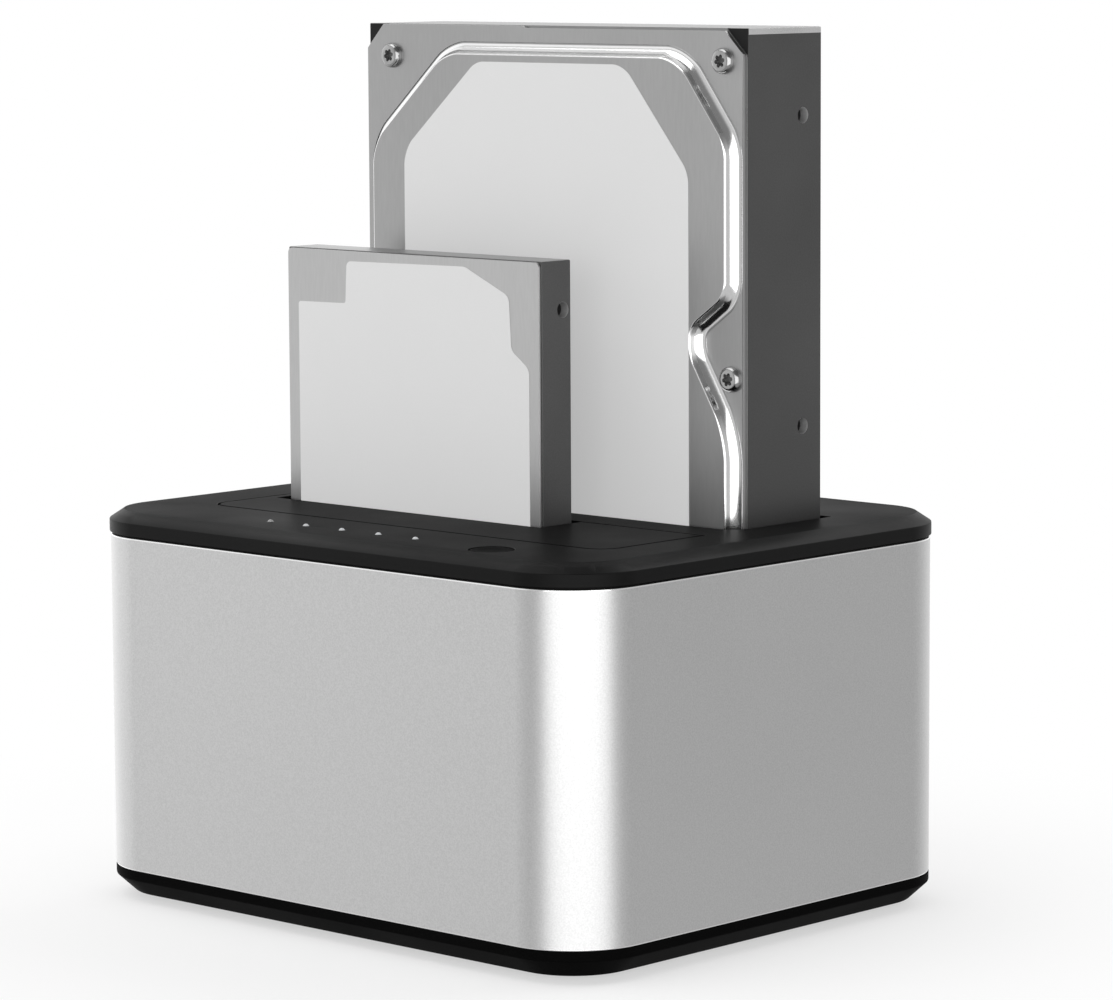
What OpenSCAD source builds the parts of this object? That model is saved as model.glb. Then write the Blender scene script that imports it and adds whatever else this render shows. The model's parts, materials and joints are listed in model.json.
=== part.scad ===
// Docking station for two bare hard drives: a metal sleeve between a black cover and a black
// base, with a laptop-size drive in the front bay and a desktop-size drive in the rear bay.
// The origin is on the table, under the middle of the dock. X runs along the front, Y to the
// back and Z up.

/* [Body] */
// Room between the drives' left side and the sleeve's
left_room = 19.55; // [18:0.05:26]
// Room between the drives' right side and the sleeve's
right_room = 14.35; // [13.5:0.05:20]
// Room between the rear drive's back and the sleeve's
rear_room = 25.6; // [23:0.1:36]
// Radius of the sleeve's upright corners
corner_r = 15.8; // [14:0.1:18]
// Height of the sleeve
sleeve_h = 66.8; // [64:0.1:76]
// Wall of the sleeve
sleeve_wall = 2; // [1.6:0.1:2.4]
// How far the cover stands out past the sleeve
cover_overhang = 0.25; // [0:0.05:0.8]
// Height of the cover's upright rim
cover_band = 2.9; // [2.4:0.1:4]
// Height of the cover's chamfer
cover_chamfer_h = 1.9; // [1.2:0.1:2.6]
// Width of the cover's chamfer, seen from above
cover_chamfer_w = 2.9; // [1.5:0.1:4]
// Thickness of the cover's top plate
plate_t = 2.2; // [1.8:0.1:2.6]
// Height of the base's upright rim
base_band = 1.9; // [1.2:0.1:3]
// Height of the base's taper
base_taper_h = 3.5; // [2.5:0.1:5]
// How far the taper draws in
base_taper_w = 3.8; // [2:0.1:5]
// Thickness of the base's floor
floor_t = 2.6; // [2.2:0.1:3.2]

/* [Feet and posts] */
// Diameter of a rubber foot
foot_d = 12; // [9:0.5:13]
// How far a foot stands out of the base
foot_out = 1; // [0.6:0.1:2]
// How deep a foot sits in its seat
foot_seat = 1; // [0.6:0.1:1.4]
// Height of the joint between base posts and cover posts, above the table
post_split = 38; // [33:0.5:44]
// Outer radius of a post
post_r = 3.6; // [3.2:0.1:4]

/* [Bays] */
// Gap between the two bays' wells
wells_gap = 0.45; // [0.3:0.05:3]
// Gap between the front board and the front well
panel_gap = 1.2; // [0.4:0.1:3]
// Connector end of the front drive, above the table
front_end_z = 28.7; // [27.5:0.1:32]
// Connector end of the rear drive, above the table
rear_end_z = 26.2; // [25:0.1:30]
// How far a spring flap reaches past the large drive's left side
flap_left = 4.6; // [4:0.1:5.2]
// How far a spring flap reaches past the large drive's right side
flap_right = 1; // [0.8:0.1:1.6]
// How much longer a flap is than the large drive is thick
flap_more = 2.1; // [1.9:0.1:3]
// Thickness of a spring flap
flap_t = 2; // [1.6:0.1:2.4]
// Gap round a flap
flap_gap = 0.25; // [0.15:0.05:0.4]
// Radius of a flap's front corners
flap_r = 5; // [2:0.5:7]
// Radius of the flap's hinge pins
pin_r = 0.6; // [0.5:0.05:0.8]
// Wall of the drive wells
well_wall = 1.6; // [1.2:0.1:2]

/* [Large drive] */
// Width of the large drive
large_w = 101.6; // [100:0.1:102]
// Length of the large drive
large_l = 147; // [130:0.5:150]
// Thickness of its casting
large_casting_t = 21.7; // [16:0.1:22]
// Thickness of its cover sheet
large_sheet_t = 0.9; // [0.6:0.1:1.2]
// Height of the cover's raised field
large_field_h = 2.5; // [1.5:0.1:2.8]

/* [Small drive] */
// Width of the small drive
small_w = 69.85; // [69:0.05:70.5]
// Length of the small drive
small_l = 100.2; // [95:0.1:101]
// Thickness of its casting
small_casting_t = 8; // [5:0.1:8.4]
// Thickness of its cover sheet
small_sheet_t = 0.6; // [0.4:0.1:0.9]

/* [Controls and ports] */
// Diameter of the round button
button_d = 8.2; // [6:0.1:9]
// Travel of the button
button_travel = 0.8; // [0.4:0.1:1.2]
// Distance of the button from the sleeve's right side
button_side = 30.15; // [27:0.05:34]
// Distance between the lights
light_pitch = 9.9; // [8:0.1:10.5]
// Number of lights
light_count = 5; // [3:1:5]
// Diameter of a light
light_d = 1.3; // [1:0.1:2]
// Distance of the first light from the sleeve's left side
light_side = 44.55; // [41:0.05:48]
// How far the lights stand behind the button's centre
light_back = 1.4; // [0.8:0.1:2]
// Place of the socket for the data cable
usb_x = 4; // [0:0.5:8]
// Place of the power jack
jack_x = 26; // [22:0.5:32]
// Place of the power switch
switch_x = -30; // [-34:0.5:-26]
// How far the switch rocks each way
rocker_tilt = 9; // [6:1:11]

/* [Hidden] */
$fn = 96;
clear = 0.2;
run = 0.05;
step = 0.01;
lip_h = 3;
lip_t = 1.6;

// Thickness of the drives, from the back of the board to the front
large_board_t = 1;
large_flange = large_board_t + large_casting_t + large_sheet_t;
large_t = large_flange + large_field_h;
small_board_t = 0.9;
small_flange = small_board_t + small_casting_t + small_sheet_t;

// Hinge of a flap, which lies under the cover's plate in front of the flap
flap_back = 0.5;
flap_back_gap = 0.45;
flap_l = large_t + flap_more;
hinge_drop = plate_t + 1.3;
hinge_reach = hinge_drop - 0.2;
knuckle_r = 1.3;
knuckle_w = 3;
knuckle_room = 0.3;
ear_t = 1.5;
ear_r = 1.7;
spring_w = 3.6;
pin_len = knuckle_w + spring_w + 2 * ear_t + 3 * clear;
hinge_side = 9;

// The sleeve is as wide as the drives with the room beside them, and as deep as a row of the
// button, the lights and the two bays
body_w = left_room + large_w + right_room;
button_flange = 0.8;
button_gap = 0.5;
light_inset = sleeve_wall + clear + lip_t + button_gap + button_flange + button_d / 2 + light_back;
panel_behind = 3.2;
hinge_room = hinge_reach + knuckle_r + knuckle_room + well_wall;
front_room = light_inset + panel_behind + panel_gap + hinge_room;
bay_pitch = flap_l + hinge_room + wells_gap + well_wall + flap_back_gap;
body_d = front_room + flap_l - flap_back + bay_pitch + rear_room;

// Heights from the table up
base_z = foot_out;
base_h = base_taper_h + base_band;
sleeve_z0 = base_z + base_h;
sleeve_z1 = sleeve_z0 + sleeve_h;
top_z = sleeve_z1 + cover_band + cover_chamfer_h;
plate_z = top_z - plate_t;
floor_z = base_z + floor_t;
hinge_z = top_z - hinge_drop;
shadow_h = 0.4;
shadow_w = 0.6;

// Inside of the sleeve
in_w = body_w - 2 * sleeve_wall;
in_d = body_d - 2 * sleeve_wall;
in_r = corner_r - sleeve_wall;

// Posts and feet stand at the corners
post_x = in_w / 2 - 7.9;
post_y = in_d / 2 - 8;
foot_x = body_w / 2 - 18;
foot_y = body_d / 2 - 18;
post_bore_r = 1.55;
screw_r = 1.5;
screw_head_r = 2.75;
screw_head_h = 2;
post_web = 3;

// Bays, front and rear, by the place of the drive's back
drive_left = -body_w / 2 + left_room;
rear_drive_y = body_d / 2 - rear_room;
front_drive_y = rear_drive_y - bay_pitch;
connector_x = drive_left + 30.1;
connector_back = 3.5;
flap_x0 = drive_left - flap_left;
flap_x1 = drive_left + large_w + flap_right;
flap_w = flap_x1 - flap_x0;
hinge_xs = [flap_x0 + hinge_side, flap_x1 - hinge_side - pin_len];
notch_x0 = drive_left - 1.5;
notch_x1 = drive_left + small_w + 1.3;
notch_front = 1.6;
rest_gap = 0.15;
stop_t = 1.2;
stop_l = 4;
stop_out = 1;
well_side = 0.9;
stop_room = 0.5;
well_x0 = flap_x0 - flap_gap - stop_out - stop_room;
well_x1 = flap_x1 + flap_gap + stop_out + stop_room;
well_top = hinge_z - ear_r - 0.4;
well_floor_t = 1.6;
seat_gap = 0.3;
rib_t = 2.4;
rib_h = 12;
flange_t = 2;
flange_w = 8;
flange_end = in_w / 2 - lip_t - 3 * clear;
flange_xs = [(well_x0 - well_wall - flange_end) / 2, (well_x1 + well_wall + flange_end) / 2];
flange_before = 12;

// Main board and what stands on it
board_t = 1.6;
board_w = body_w - 31.5;
board_y0 = -in_d / 2 + 2.5;
board_y1 = in_d / 2 - 1.2;
board_z = rear_end_z - 5.4;
board_top = board_z + board_t;
board_hole_x = board_w / 2 - 4;
board_hole_y0 = board_y0 + 5;
board_hole_y1 = board_y1 - 22;
board_screw_r = 1.2;
board_head_r = 2.2;
board_head_h = 1.5;
front_row_y = board_y0 + 7;
regulator_xs = [-board_w / 2 + 14, -board_w / 2 + 26];
regulator_size = [5, 4, 1.5];
coil_xs = [-14, 0];
coil_w = 7;
coil_d = 6;
coil_h = 3.2;
capacitor_xs = [14, 24, board_w / 2 - 18];
capacitor_r = 3.15;
capacitor_h = 7.7;
bridge_size = [12, 12, 1.4];
crystal_w = 4.4;
crystal_d = 10.4;
crystal_h = 3.4;
cable_x = -board_w / 2 + 21;
cable_w = 10;
cable_t = 0.3;
cable_belly = 2.7;
cable_socket_w = 13;
cable_socket_d = 3.2;
cable_socket_h = 3.4;
plug_enter = 4.6;
receptacle_w = 38.6;
receptacle_d = 4.4;
tongue_w = 33.4;
tongue_t = 1.1;

// Front board under the lights and the button
light_y = -body_d / 2 + light_inset;
button_y = light_y - light_back;
button_x = body_w / 2 - button_side;
first_light_x = -body_w / 2 + light_side;
button_sink = 0.1;
panel_board_w = body_w - 29.5;
panel_board_z = top_z - 13.6;
panel_board_y0 = -in_d / 2 + 1.4;
panel_board_y1 = light_y + panel_behind;
panel_post_x = panel_board_w / 2 - 3.4;
panel_post_y = (panel_board_y0 + panel_board_y1) / 2;
panel_post_r = 3;
tact_w = 6;
tact_h = 3.4;

// Ports in the back
port_z = board_top + 5.8;
usb_w = 12.1;
usb_h = 10.9;
usb_l = 18.5;
jack_w = 9;
jack_h = 11;
jack_l = 14;
jack_bore_r = 3.15;
jack_bore_l = 9.5;
jack_pin_r = 1.05;
usb_sheet = 0.6;
usb_mouth = 9;
switch_z = port_z + 2.6;
bezel_w = 21.6;
bezel_h = 14.6;
bezel_t = 1.2;
bezel_pocket = 1;
switch_body_l = 13;
terminal_x = 5;
terminal_w = 4.8;
terminal_t = 0.8;
terminal_l = 4;
rocker_w = 15.2;
rocker_h = 10.8;
rocker_reach = 4.4;
rocker_well_w = 17.9;
pivot_y = body_d / 2 - 5.7;
pivot_r = 1;
pivot_out = 1.2;
rocker_gap = 0.25;
back_y = body_d / 2;

// Drive details, each from the drive's left side, its connector end and its back
large_side_hole_y = 6.35;
large_hole_z = 28.5;
large_side_holes = [large_hole_z, large_hole_z + 41.6, large_hole_z + 101.6];
large_board_l = large_l - 55;
large_motor_r = 13.5;
field_left = 4.4;
field_right = 2.7;
field_low = 7.5;
field_top = 6;
field_bay = 9.1;
field_bay_z = large_l - 64;
label_side = 13.2;
label_low = 12;
label_top = 7.2;
large_corner_cut = 4.9;
large_step_x = 44.5;
large_step_h = 0.5;
large_screw_in = 5.2;
large_screw_at = [
    [large_screw_in + 2.4, large_l - large_screw_in - 1.2],
    [large_w - large_screw_in, large_l - large_screw_in - 1],
    [large_w - 3.3, field_bay_z - 2.8],
    [large_screw_in, large_screw_in + 0.2], [large_w - large_screw_in, large_screw_in + 0.2]
];
small_side_hole_y = 3;
small_hole_z = 14;
small_side_holes = [small_hole_z, small_hole_z + 76.6];
small_board_l = small_l - 43.2;
small_label_side = 3.4;
small_label_low = 6;
label_t = 0.12;
hole_r = 1.5;
plug_w = 45.6;
plug_d = 7;
plug_h = 7.8;
plug_mouth_w = receptacle_w + 0.8;
plug_mouth_d = receptacle_d + 0.8;
plug_mouth_h = plug_enter + 0.8;

// Flat rounded rectangle about the origin
module rounded_rect(w, d, r) {
    square([w - 2 * r, d], center = true);
    square([w, d - 2 * r], center = true);
    for (sx = [-1, 1], sy = [-1, 1])
        translate([sx * (w / 2 - r), sy * (d / 2 - r)]) circle(r);
}

// Upright rounded bar between two heights
module rounded_bar(w, d, r, z0, z1) {
    translate([0, 0, z0]) linear_extrude(z1 - z0) rounded_rect(w, d, r);
}

// Rounded slab whose rim follows a profile of [distance out from the corner's centre, height]
module rimmed_slab(w, d, r, profile) {
    cx = w / 2 - r;
    cy = d / 2 - r;
    heights = [for (p = profile) p.y];
    translate([-cx, -cy, min(heights)]) cube([2 * cx, 2 * cy, max(heights) - min(heights)]);
    for (side = [0, 1]) {
        mirror([0, side, 0])
            translate([-cx, cy, 0]) rotate([90, 0, 90]) linear_extrude(2 * cx) polygon(profile);
        mirror([side, 0, 0])
            translate([cx, cy, 0]) rotate([90, 0, 0]) linear_extrude(2 * cy) polygon(profile);
    }
    for (mx = [0, 1], my = [0, 1])
        mirror([mx, 0, 0]) mirror([0, my, 0])
            translate([cx, cy, 0]) rotate_extrude(angle = 90) polygon(profile);
}

// Box between two corners
module box(low, high) {
    translate(low) cube(high - low);
}

// Upright cylinder between two heights
module post(at, r, z0, z1) {
    translate([at.x, at.y, z0]) cylinder(h = z1 - z0, r = r);
}

// Cylinder along X from a point
module bar_x(at, r, l) {
    translate(at) rotate([0, 90, 0]) cylinder(h = l, r = r);
}

// Cylinder along Y from a point, towards the front
module bar_front(at, r, l) {
    translate(at) rotate([90, 0, 0]) cylinder(h = l, r = r);
}

// Screw standing head down, with its head's underside at the given height
module screw(at, r, head_r, head_h, z, l) {
    difference() {
        union() {
            post(at, r, z, z + l);
            post(at, head_r, z - head_h, z);
        }
        post(at, head_r * 0.45, z - head_h, z - head_h / 2);
    }
}

function unit(v) = v / norm(v);

// Outline through corners of [x, y, radius], each rounded by an arc of short chords
function rounded_outline(corners, chords = 6) = [
    for (i = [0:len(corners) - 1])
        let (
            n = len(corners),
            p = [corners[i].x, corners[i].y],
            before = corners[(i + n - 1) % n],
            after = corners[(i + 1) % n],
            to_a = unit([before.x, before.y] - p),
            to_b = unit([after.x, after.y] - p),
            half = acos(to_a * to_b) / 2,
            r = corners[i].z,
            centre = p + unit(to_a + to_b) * r / sin(half),
            first = p + to_a * r / tan(half) - centre,
            start = atan2(first.y, first.x),
            turn = (180 - 2 * half) * (cross(to_b, to_a) > 0 ? 1 : -1)
        )
        each r == 0 ? [p] : [
            for (k = [0:chords])
                centre + r * [cos(start + turn * k / chords), sin(start + turn * k / chords)]
        ]
];

// The outline drawn in by a distance; it runs anticlockwise
function drawn_in(outline, d) = [
    for (i = [0:len(outline) - 1])
        let (
            n = len(outline),
            e1 = unit(outline[i] - outline[(i + n - 1) % n]),
            e2 = unit(outline[(i + 1) % n] - outline[i]),
            n1 = [e1.y, -e1.x],
            n2 = [e2.y, -e2.x]
        )
        outline[i] - d * (n1 + n2) / (1 + n1 * n2)
];

// Raised field: the outline rises through rings of [drawn in, height]
module raised_field(outline, rings) {
    n = len(outline);
    last = len(rings) - 1;
    points = [
        for (ring = rings)
            each [for (p = drawn_in(outline, ring.x)) [p.x, p.y, ring.y]]
    ];
    sides = [
        for (k = [0:last - 1], i = [0:n - 1])
            let (j = (i + 1) % n, lo = k * n, hi = (k + 1) * n)
            each [[lo + i, hi + i, hi + j], [lo + i, hi + j, lo + j]]
    ];
    caps = [[for (i = [0:n - 1]) i], [for (i = [n - 1:-1:0]) last * n + i]];
    polyhedron(points, concat(sides, caps), convexity = 6);
}

// Case
module sleeve() {
    color([0.78, 0.78, 0.79]) difference() {
        rounded_bar(body_w, body_d, corner_r, sleeve_z0, sleeve_z1);
        rounded_bar(in_w, in_d, in_r, sleeve_z0 - 1, sleeve_z1 + 1);
        back_cut(usb_x, port_z, usb_w + 2 * clear, usb_h + 2 * clear, sleeve_wall);
        back_cut(jack_x, port_z, jack_w + 2 * clear, jack_h + 2 * clear, sleeve_wall);
        back_cut(switch_x, switch_z, bezel_w - 2, bezel_h - 2, sleeve_wall);
        back_cut(switch_x, switch_z, bezel_w + 2 * clear, bezel_h + 2 * clear, bezel_pocket);
    }
}

// Rectangular cut of a given depth into the sleeve's back
module back_cut(x, z, w, h, depth) {
    box([x - w / 2, back_y - depth, z - h / 2], [x + w / 2, back_y + 1, z + h / 2]);
}

module lip_ring(z0, z1) {
    difference() {
        rounded_bar(in_w - 2 * clear, in_d - 2 * clear, in_r - clear, z0, z1);
        rounded_bar(
            in_w - 2 * clear - 2 * lip_t, in_d - 2 * clear - 2 * lip_t, in_r - clear - lip_t,
            z0 - 1, z1 + 1
        );
    }
}

module top_cover() {
    r = corner_r + cover_overhang;
    profile = [
        [0, sleeve_z1], [corner_r - shadow_w, sleeve_z1],
        [corner_r - shadow_w, sleeve_z1 + shadow_h], [r, sleeve_z1 + shadow_h],
        [r, sleeve_z1 + cover_band], [r - cover_chamfer_w, top_z], [0, top_z]
    ];
    color([0.12, 0.12, 0.125]) difference() {
        union() {
            difference() {
                union() {
                    rimmed_slab(
                        body_w + 2 * cover_overhang, body_d + 2 * cover_overhang, r, profile
                    );
                    lip_ring(sleeve_z1 - lip_h, sleeve_z1 + step);
                }
                rounded_bar(
                    in_w - 2 * clear - 2 * lip_t, in_d - 2 * clear - 2 * lip_t,
                    in_r - clear - lip_t, sleeve_z1 - 1, plate_z
                );
            }
            corner_posts(post_r, post_split + clear, plate_z + step);
            for (y = [front_drive_y, rear_drive_y], x = flange_xs)
                post([x, flange_y(y)], post_r - 0.6, well_top, plate_z + step);
            for (sx = [-1, 1])
                post(
                    [sx * panel_post_x, panel_post_y], panel_post_r,
                    panel_board_z + board_t, plate_z + step
                );
            for (y = [front_drive_y, rear_drive_y], x = hinge_xs) hinge_ears(x, hinge_y(y));
        }
        for (y = [front_drive_y, rear_drive_y]) flap_opening(y);
        for (y = [front_drive_y, rear_drive_y], x = hinge_xs)
            bar_x([x - 1, hinge_y(y), hinge_z], pin_r + run / 2, pin_len + 2);
        for (i = [0:light_count - 1])
            post([light_x(i), light_y], light_d / 2 + run, plate_z - 1, top_z + 1);
        post([button_x, button_y], button_d / 2 + 0.3, plate_z - 1, top_z + 1);
        corner_posts(post_bore_r, post_split - 1, post_split + 11);
        for (y = [front_drive_y, rear_drive_y], x = flange_xs)
            post([x, flange_y(y)], board_screw_r + run, well_top - 1, well_top + 3);
        for (sx = [-1, 1])
            post(
                [sx * panel_post_x, panel_post_y], board_screw_r + run,
                panel_board_z, panel_board_z + board_t + 5
            );
    }
}

function light_x(i) = first_light_x + i * light_pitch;
function flange_y(drive_y) = drive_y - flange_before;
function flap_y1(drive_y) = drive_y + flap_back;
function flap_y0(drive_y) = flap_y1(drive_y) - flap_l;
function hinge_y(drive_y) = flap_y0(drive_y) - hinge_reach;
function well_y0(drive_y) = hinge_y(drive_y) - knuckle_r - knuckle_room;
function well_y1(drive_y) = flap_y1(drive_y) + flap_back_gap;

module corner_posts(r, z0, z1) {
    for (sx = [-1, 1], sy = [-1, 1]) post([sx * post_x, sy * post_y], r, z0, z1);
}

// The hole in the cover's plate that a flap closes, with the flap's own rounded front corners
module flap_opening(drive_y) {
    r = flap_r + flap_gap;
    x0 = flap_x0 - flap_gap;
    x1 = flap_x1 + flap_gap;
    y0 = flap_y0(drive_y) - flap_gap;
    y1 = flap_y1(drive_y) + flap_back_gap;
    translate([0, 0, plate_z - 1]) linear_extrude(plate_t + 2) {
        translate([x0 + r, y0]) square([x1 - x0 - 2 * r, y1 - y0]);
        translate([x0, y0 + r]) square([x1 - x0, y1 - y0 - r]);
        for (x = [x0 + r, x1 - r]) translate([x, y0 + r]) circle(r);
    }
}

// Two ears under the cover, with a knuckle and a spring between them
module hinge_ears(x, y) {
    for (ex = [x, x + pin_len - ear_t])
        translate([ex, 0, 0]) {
            bar_x([0, y, hinge_z], ear_r, ear_t);
            box([0, y - ear_r, hinge_z], [ear_t, y + ear_r, plate_z + step]);
        }
}

module base() {
    profile = [
        [0, base_z], [corner_r - base_taper_w, base_z], [corner_r, base_z + base_taper_h],
        [corner_r, sleeve_z0], [0, sleeve_z0]
    ];
    color([0.07, 0.07, 0.075]) difference() {
        union() {
            difference() {
                union() {
                    rimmed_slab(body_w, body_d, corner_r, profile);
                    lip_ring(sleeve_z0 - step, sleeve_z0 + lip_h);
                }
                rounded_bar(
                    in_w - 2 * clear - 2 * lip_t, in_d - 2 * clear - 2 * lip_t,
                    in_r - clear - lip_t, floor_z, sleeve_z0 + 1
                );
            }
            corner_posts(post_r, floor_z - step, post_split);
            board_posts(3, floor_z - step, board_z);
        }
        corner_posts(screw_head_r + 0.3, base_z - 1, post_split - post_web);
        corner_posts(post_bore_r, base_z, post_split + 1);
        at_feet() translate([0, 0, base_z - 1]) cylinder(h = foot_seat + 1, r = foot_d / 2 + clear);
        board_posts(board_screw_r + run, board_z - 7, board_z + 1);
    }
}

module board_posts(r, z0, z1) {
    for (sx = [-1, 1], y = [board_hole_y0, board_hole_y1])
        post([sx * board_hole_x, y], r, z0, z1);
}

module at_feet() {
    for (sx = [-1, 1], sy = [-1, 1]) translate([sx * foot_x, sy * foot_y, 0]) children();
}

module rubber_feet() {
    color([0.1, 0.1, 0.1]) at_feet() rotate_extrude() polygon([
        [0, 0], [foot_d / 2 - 0.6, 0], [foot_d / 2, 0.6],
        [foot_d / 2, foot_out + foot_seat], [0, foot_out + foot_seat]
    ]);
}

module case_screws() {
    color([0.6, 0.6, 0.62])
        for (sx = [-1, 1], sy = [-1, 1])
            screw(
                [sx * post_x, sy * post_y], screw_r, screw_head_r, screw_head_h,
                post_split - post_web, 12
            );
}

// Well: an open box that takes a drive down to the connector, with lead-in ribs at its foot
module well(drive_y, end_z) {
    y0 = well_y0(drive_y);
    y1 = well_y1(drive_y);
    z0 = end_z - seat_gap - well_floor_t;
    connector_y = drive_y - connector_back;
    low_x0 = drive_left - well_side;
    low_x1 = drive_left + large_w + well_side;
    difference() {
        union() {
            difference() {
                box(
                    [well_x0 - well_wall, y0 - well_wall, z0],
                    [well_x1 + well_wall, y1 + well_wall, well_top]
                );
                box([well_x0, y0, z0 + well_floor_t], [well_x1, y1, well_top + 1]);
            }
            for (y = [y0 + 6, y1 - 6 - rib_t]) {
                lead_in(well_x0, low_x0, y, z0 + well_floor_t);
                lead_in(well_x1, low_x1, y, z0 + well_floor_t);
            }
            well_flange(-flange_end, well_x0 - well_wall + step, flange_y(drive_y));
            well_flange(well_x1 + well_wall - step, flange_end, flange_y(drive_y));
        }
        box(
            [connector_x - plug_w / 2 - 1, connector_y - 4.2, z0 - 1],
            [connector_x + plug_w / 2 + 1, connector_y + 4.2, z0 + well_floor_t + 1]
        );
        for (x = flange_xs)
            post([x, flange_y(drive_y)], board_screw_r + 0.2, well_top - flange_t - 1, well_top + 1);
    }
}

// Flange beside a well, screwed up against the cover's posts
module well_flange(x0, x1, y) {
    box([x0, y - flange_w / 2, well_top - flange_t], [x1, y + flange_w / 2, well_top]);
}

// Rib from a well's wall to the drive's side, with a sloped top that leads the drive in
module lead_in(wall_x, face_x, y, z) {
    translate([0, y + rib_t, 0]) rotate([90, 0, 0]) linear_extrude(rib_t) polygon([
        [wall_x, z - step], [face_x, z - step], [face_x, z + rib_h - 5], [wall_x, z + rib_h]
    ]);
}

module front_well() {
    color([0.16, 0.16, 0.17]) well(front_drive_y, front_end_z);
}

module rear_well() {
    color([0.16, 0.16, 0.17]) well(rear_drive_y, rear_end_z);
}

module well_screws() {
    color([0.6, 0.6, 0.62])
        for (y = [front_drive_y, rear_drive_y], x = flange_xs)
            screw(
                [x, flange_y(y)], board_screw_r, board_head_r, board_head_h,
                well_top - flange_t, flange_t + 2.6
            );
}

// Boards and what stands on them
module main_board() {
    color([0.05, 0.3, 0.18]) difference() {
        box([-board_w / 2, board_y0, board_z], [board_w / 2, board_y1, board_top]);
        board_posts(board_screw_r + 0.2, board_z - 1, board_top + 1);
    }
}

module board_screws() {
    color([0.6, 0.6, 0.62])
        for (sx = [-1, 1], y = [board_hole_y0, board_hole_y1])
            translate([sx * board_hole_x, y, board_top]) mirror([0, 0, 1])
                screw([0, 0], board_screw_r, board_head_r, board_head_h, 0, 7);
}

// Socket for a bare drive: a foot on the board and a narrow nose with a slot for the contacts
module receptacle(drive_y, end_z) {
    y = drive_y - connector_back;
    foot_z = end_z - 1;
    nose_z = end_z + plug_enter;
    color([0.08, 0.08, 0.09]) difference() {
        union() {
            box(
                [connector_x - plug_w / 2 + 0.6, y - 3.4, board_top],
                [connector_x + plug_w / 2 - 0.6, y + 3.4, foot_z]
            );
            box(
                [connector_x - receptacle_w / 2, y - receptacle_d / 2, foot_z - step],
                [connector_x + receptacle_w / 2, y + receptacle_d / 2, nose_z]
            );
        }
        box(
            [connector_x - tongue_w / 2 - 0.4, y - tongue_t / 2 - 0.25, nose_z - 5],
            [connector_x + tongue_w / 2 + 0.4, y + tongue_t / 2 + 0.25, nose_z + 1]
        );
    }
}

module front_receptacle() {
    receptacle(front_drive_y, front_end_z);
}

module rear_receptacle() {
    receptacle(rear_drive_y, rear_end_z);
}

// Chip with its legs on two sides, seen as one foot plate under the body
module chip(at, size) {
    half = size / 2;
    leg_h = 0.2;
    leg_out = 0.8;
    leg_in = 0.6;
    box(
        [at.x - half.x, at.y - half.y, board_top + leg_h],
        [at.x + half.x, at.y + half.y, board_top + size.z]
    );
    box(
        [at.x - half.x - leg_out, at.y - half.y + leg_in, board_top],
        [at.x + half.x + leg_out, at.y + half.y - leg_in, board_top + leg_h + step]
    );
}

module bridge_chip() {
    color([0.1, 0.1, 0.1])
        chip([board_w / 2 - 24, rear_drive_y - bay_pitch / 2 - connector_back], bridge_size);
}

module regulator_chips() {
    color([0.1, 0.1, 0.1])
        for (x = regulator_xs) chip([x, front_row_y], regulator_size);
}

module power_coils() {
    color([0.25, 0.25, 0.26])
        for (x = coil_xs)
            difference() {
                box(
                    [x - coil_w / 2, front_row_y - coil_d / 2, board_top],
                    [x + coil_w / 2, front_row_y + coil_d / 2, board_top + coil_h]
                );
                post([x, front_row_y], 1.6, board_top + coil_h - 0.4, board_top + coil_h + 1);
            }
}

module capacitors() {
    color([0.2, 0.22, 0.3])
        for (x = capacitor_xs)
            post([x, front_row_y - 0.4], capacitor_r, board_top, board_top + capacitor_h);
}

module crystal() {
    color([0.7, 0.7, 0.7]) translate([board_w / 2 - 11, front_drive_y - connector_back, 0])
        rounded_bar(crystal_w, crystal_d, crystal_w / 2 - 0.1, board_top, board_top + crystal_h);
}

// Ports
module usb_socket() {
    z0 = port_z - usb_h / 2;
    color([0.7, 0.71, 0.73]) difference() {
        union() {
            box([usb_x - usb_w / 2, back_y - usb_l, z0], [usb_x + usb_w / 2, back_y, z0 + usb_h]);
            box(
                [usb_x - usb_w / 2, back_y - usb_l, board_top],
                [usb_x + usb_w / 2, back_y - sleeve_wall - 1.5, z0 + step]
            );
        }
        box(
            [usb_x - usb_w / 2 + usb_sheet, back_y - usb_mouth, z0 + usb_sheet],
            [usb_x + usb_w / 2 - usb_sheet, back_y + 1, z0 + usb_h - usb_sheet]
        );
    }
}

// Two tongues, a thick narrow one below and a thin wide one above
module usb_tongue() {
    color([0.1, 0.25, 0.6]) {
        tongue(5.6, usb_h * 0.2, 3);
        tongue(7.2, usb_h * 0.68, 1.4);
    }
}

module tongue(w, up, t) {
    z = port_z - usb_h / 2 + up;
    box([usb_x - w / 2, back_y - usb_mouth, z], [usb_x + w / 2, back_y - 1, z + t]);
}

module power_jack() {
    color([0.06, 0.06, 0.06]) difference() {
        box(
            [jack_x - jack_w / 2, back_y - jack_l, board_top],
            [jack_x + jack_w / 2, back_y, port_z + jack_h / 2]
        );
        bar_front([jack_x, back_y + 1, port_z], jack_bore_r, jack_bore_l + 1);
        box(
            [jack_x - jack_w / 2 - 1, back_y - sleeve_wall - 1.2, board_top - 1],
            [jack_x + jack_w / 2 + 1, back_y + 1, port_z - jack_h / 2]
        );
    }
}

module jack_pin() {
    color([0.75, 0.75, 0.76]) bar_front([jack_x, back_y - 1, port_z], jack_pin_r, jack_bore_l - 1);
}

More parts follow.
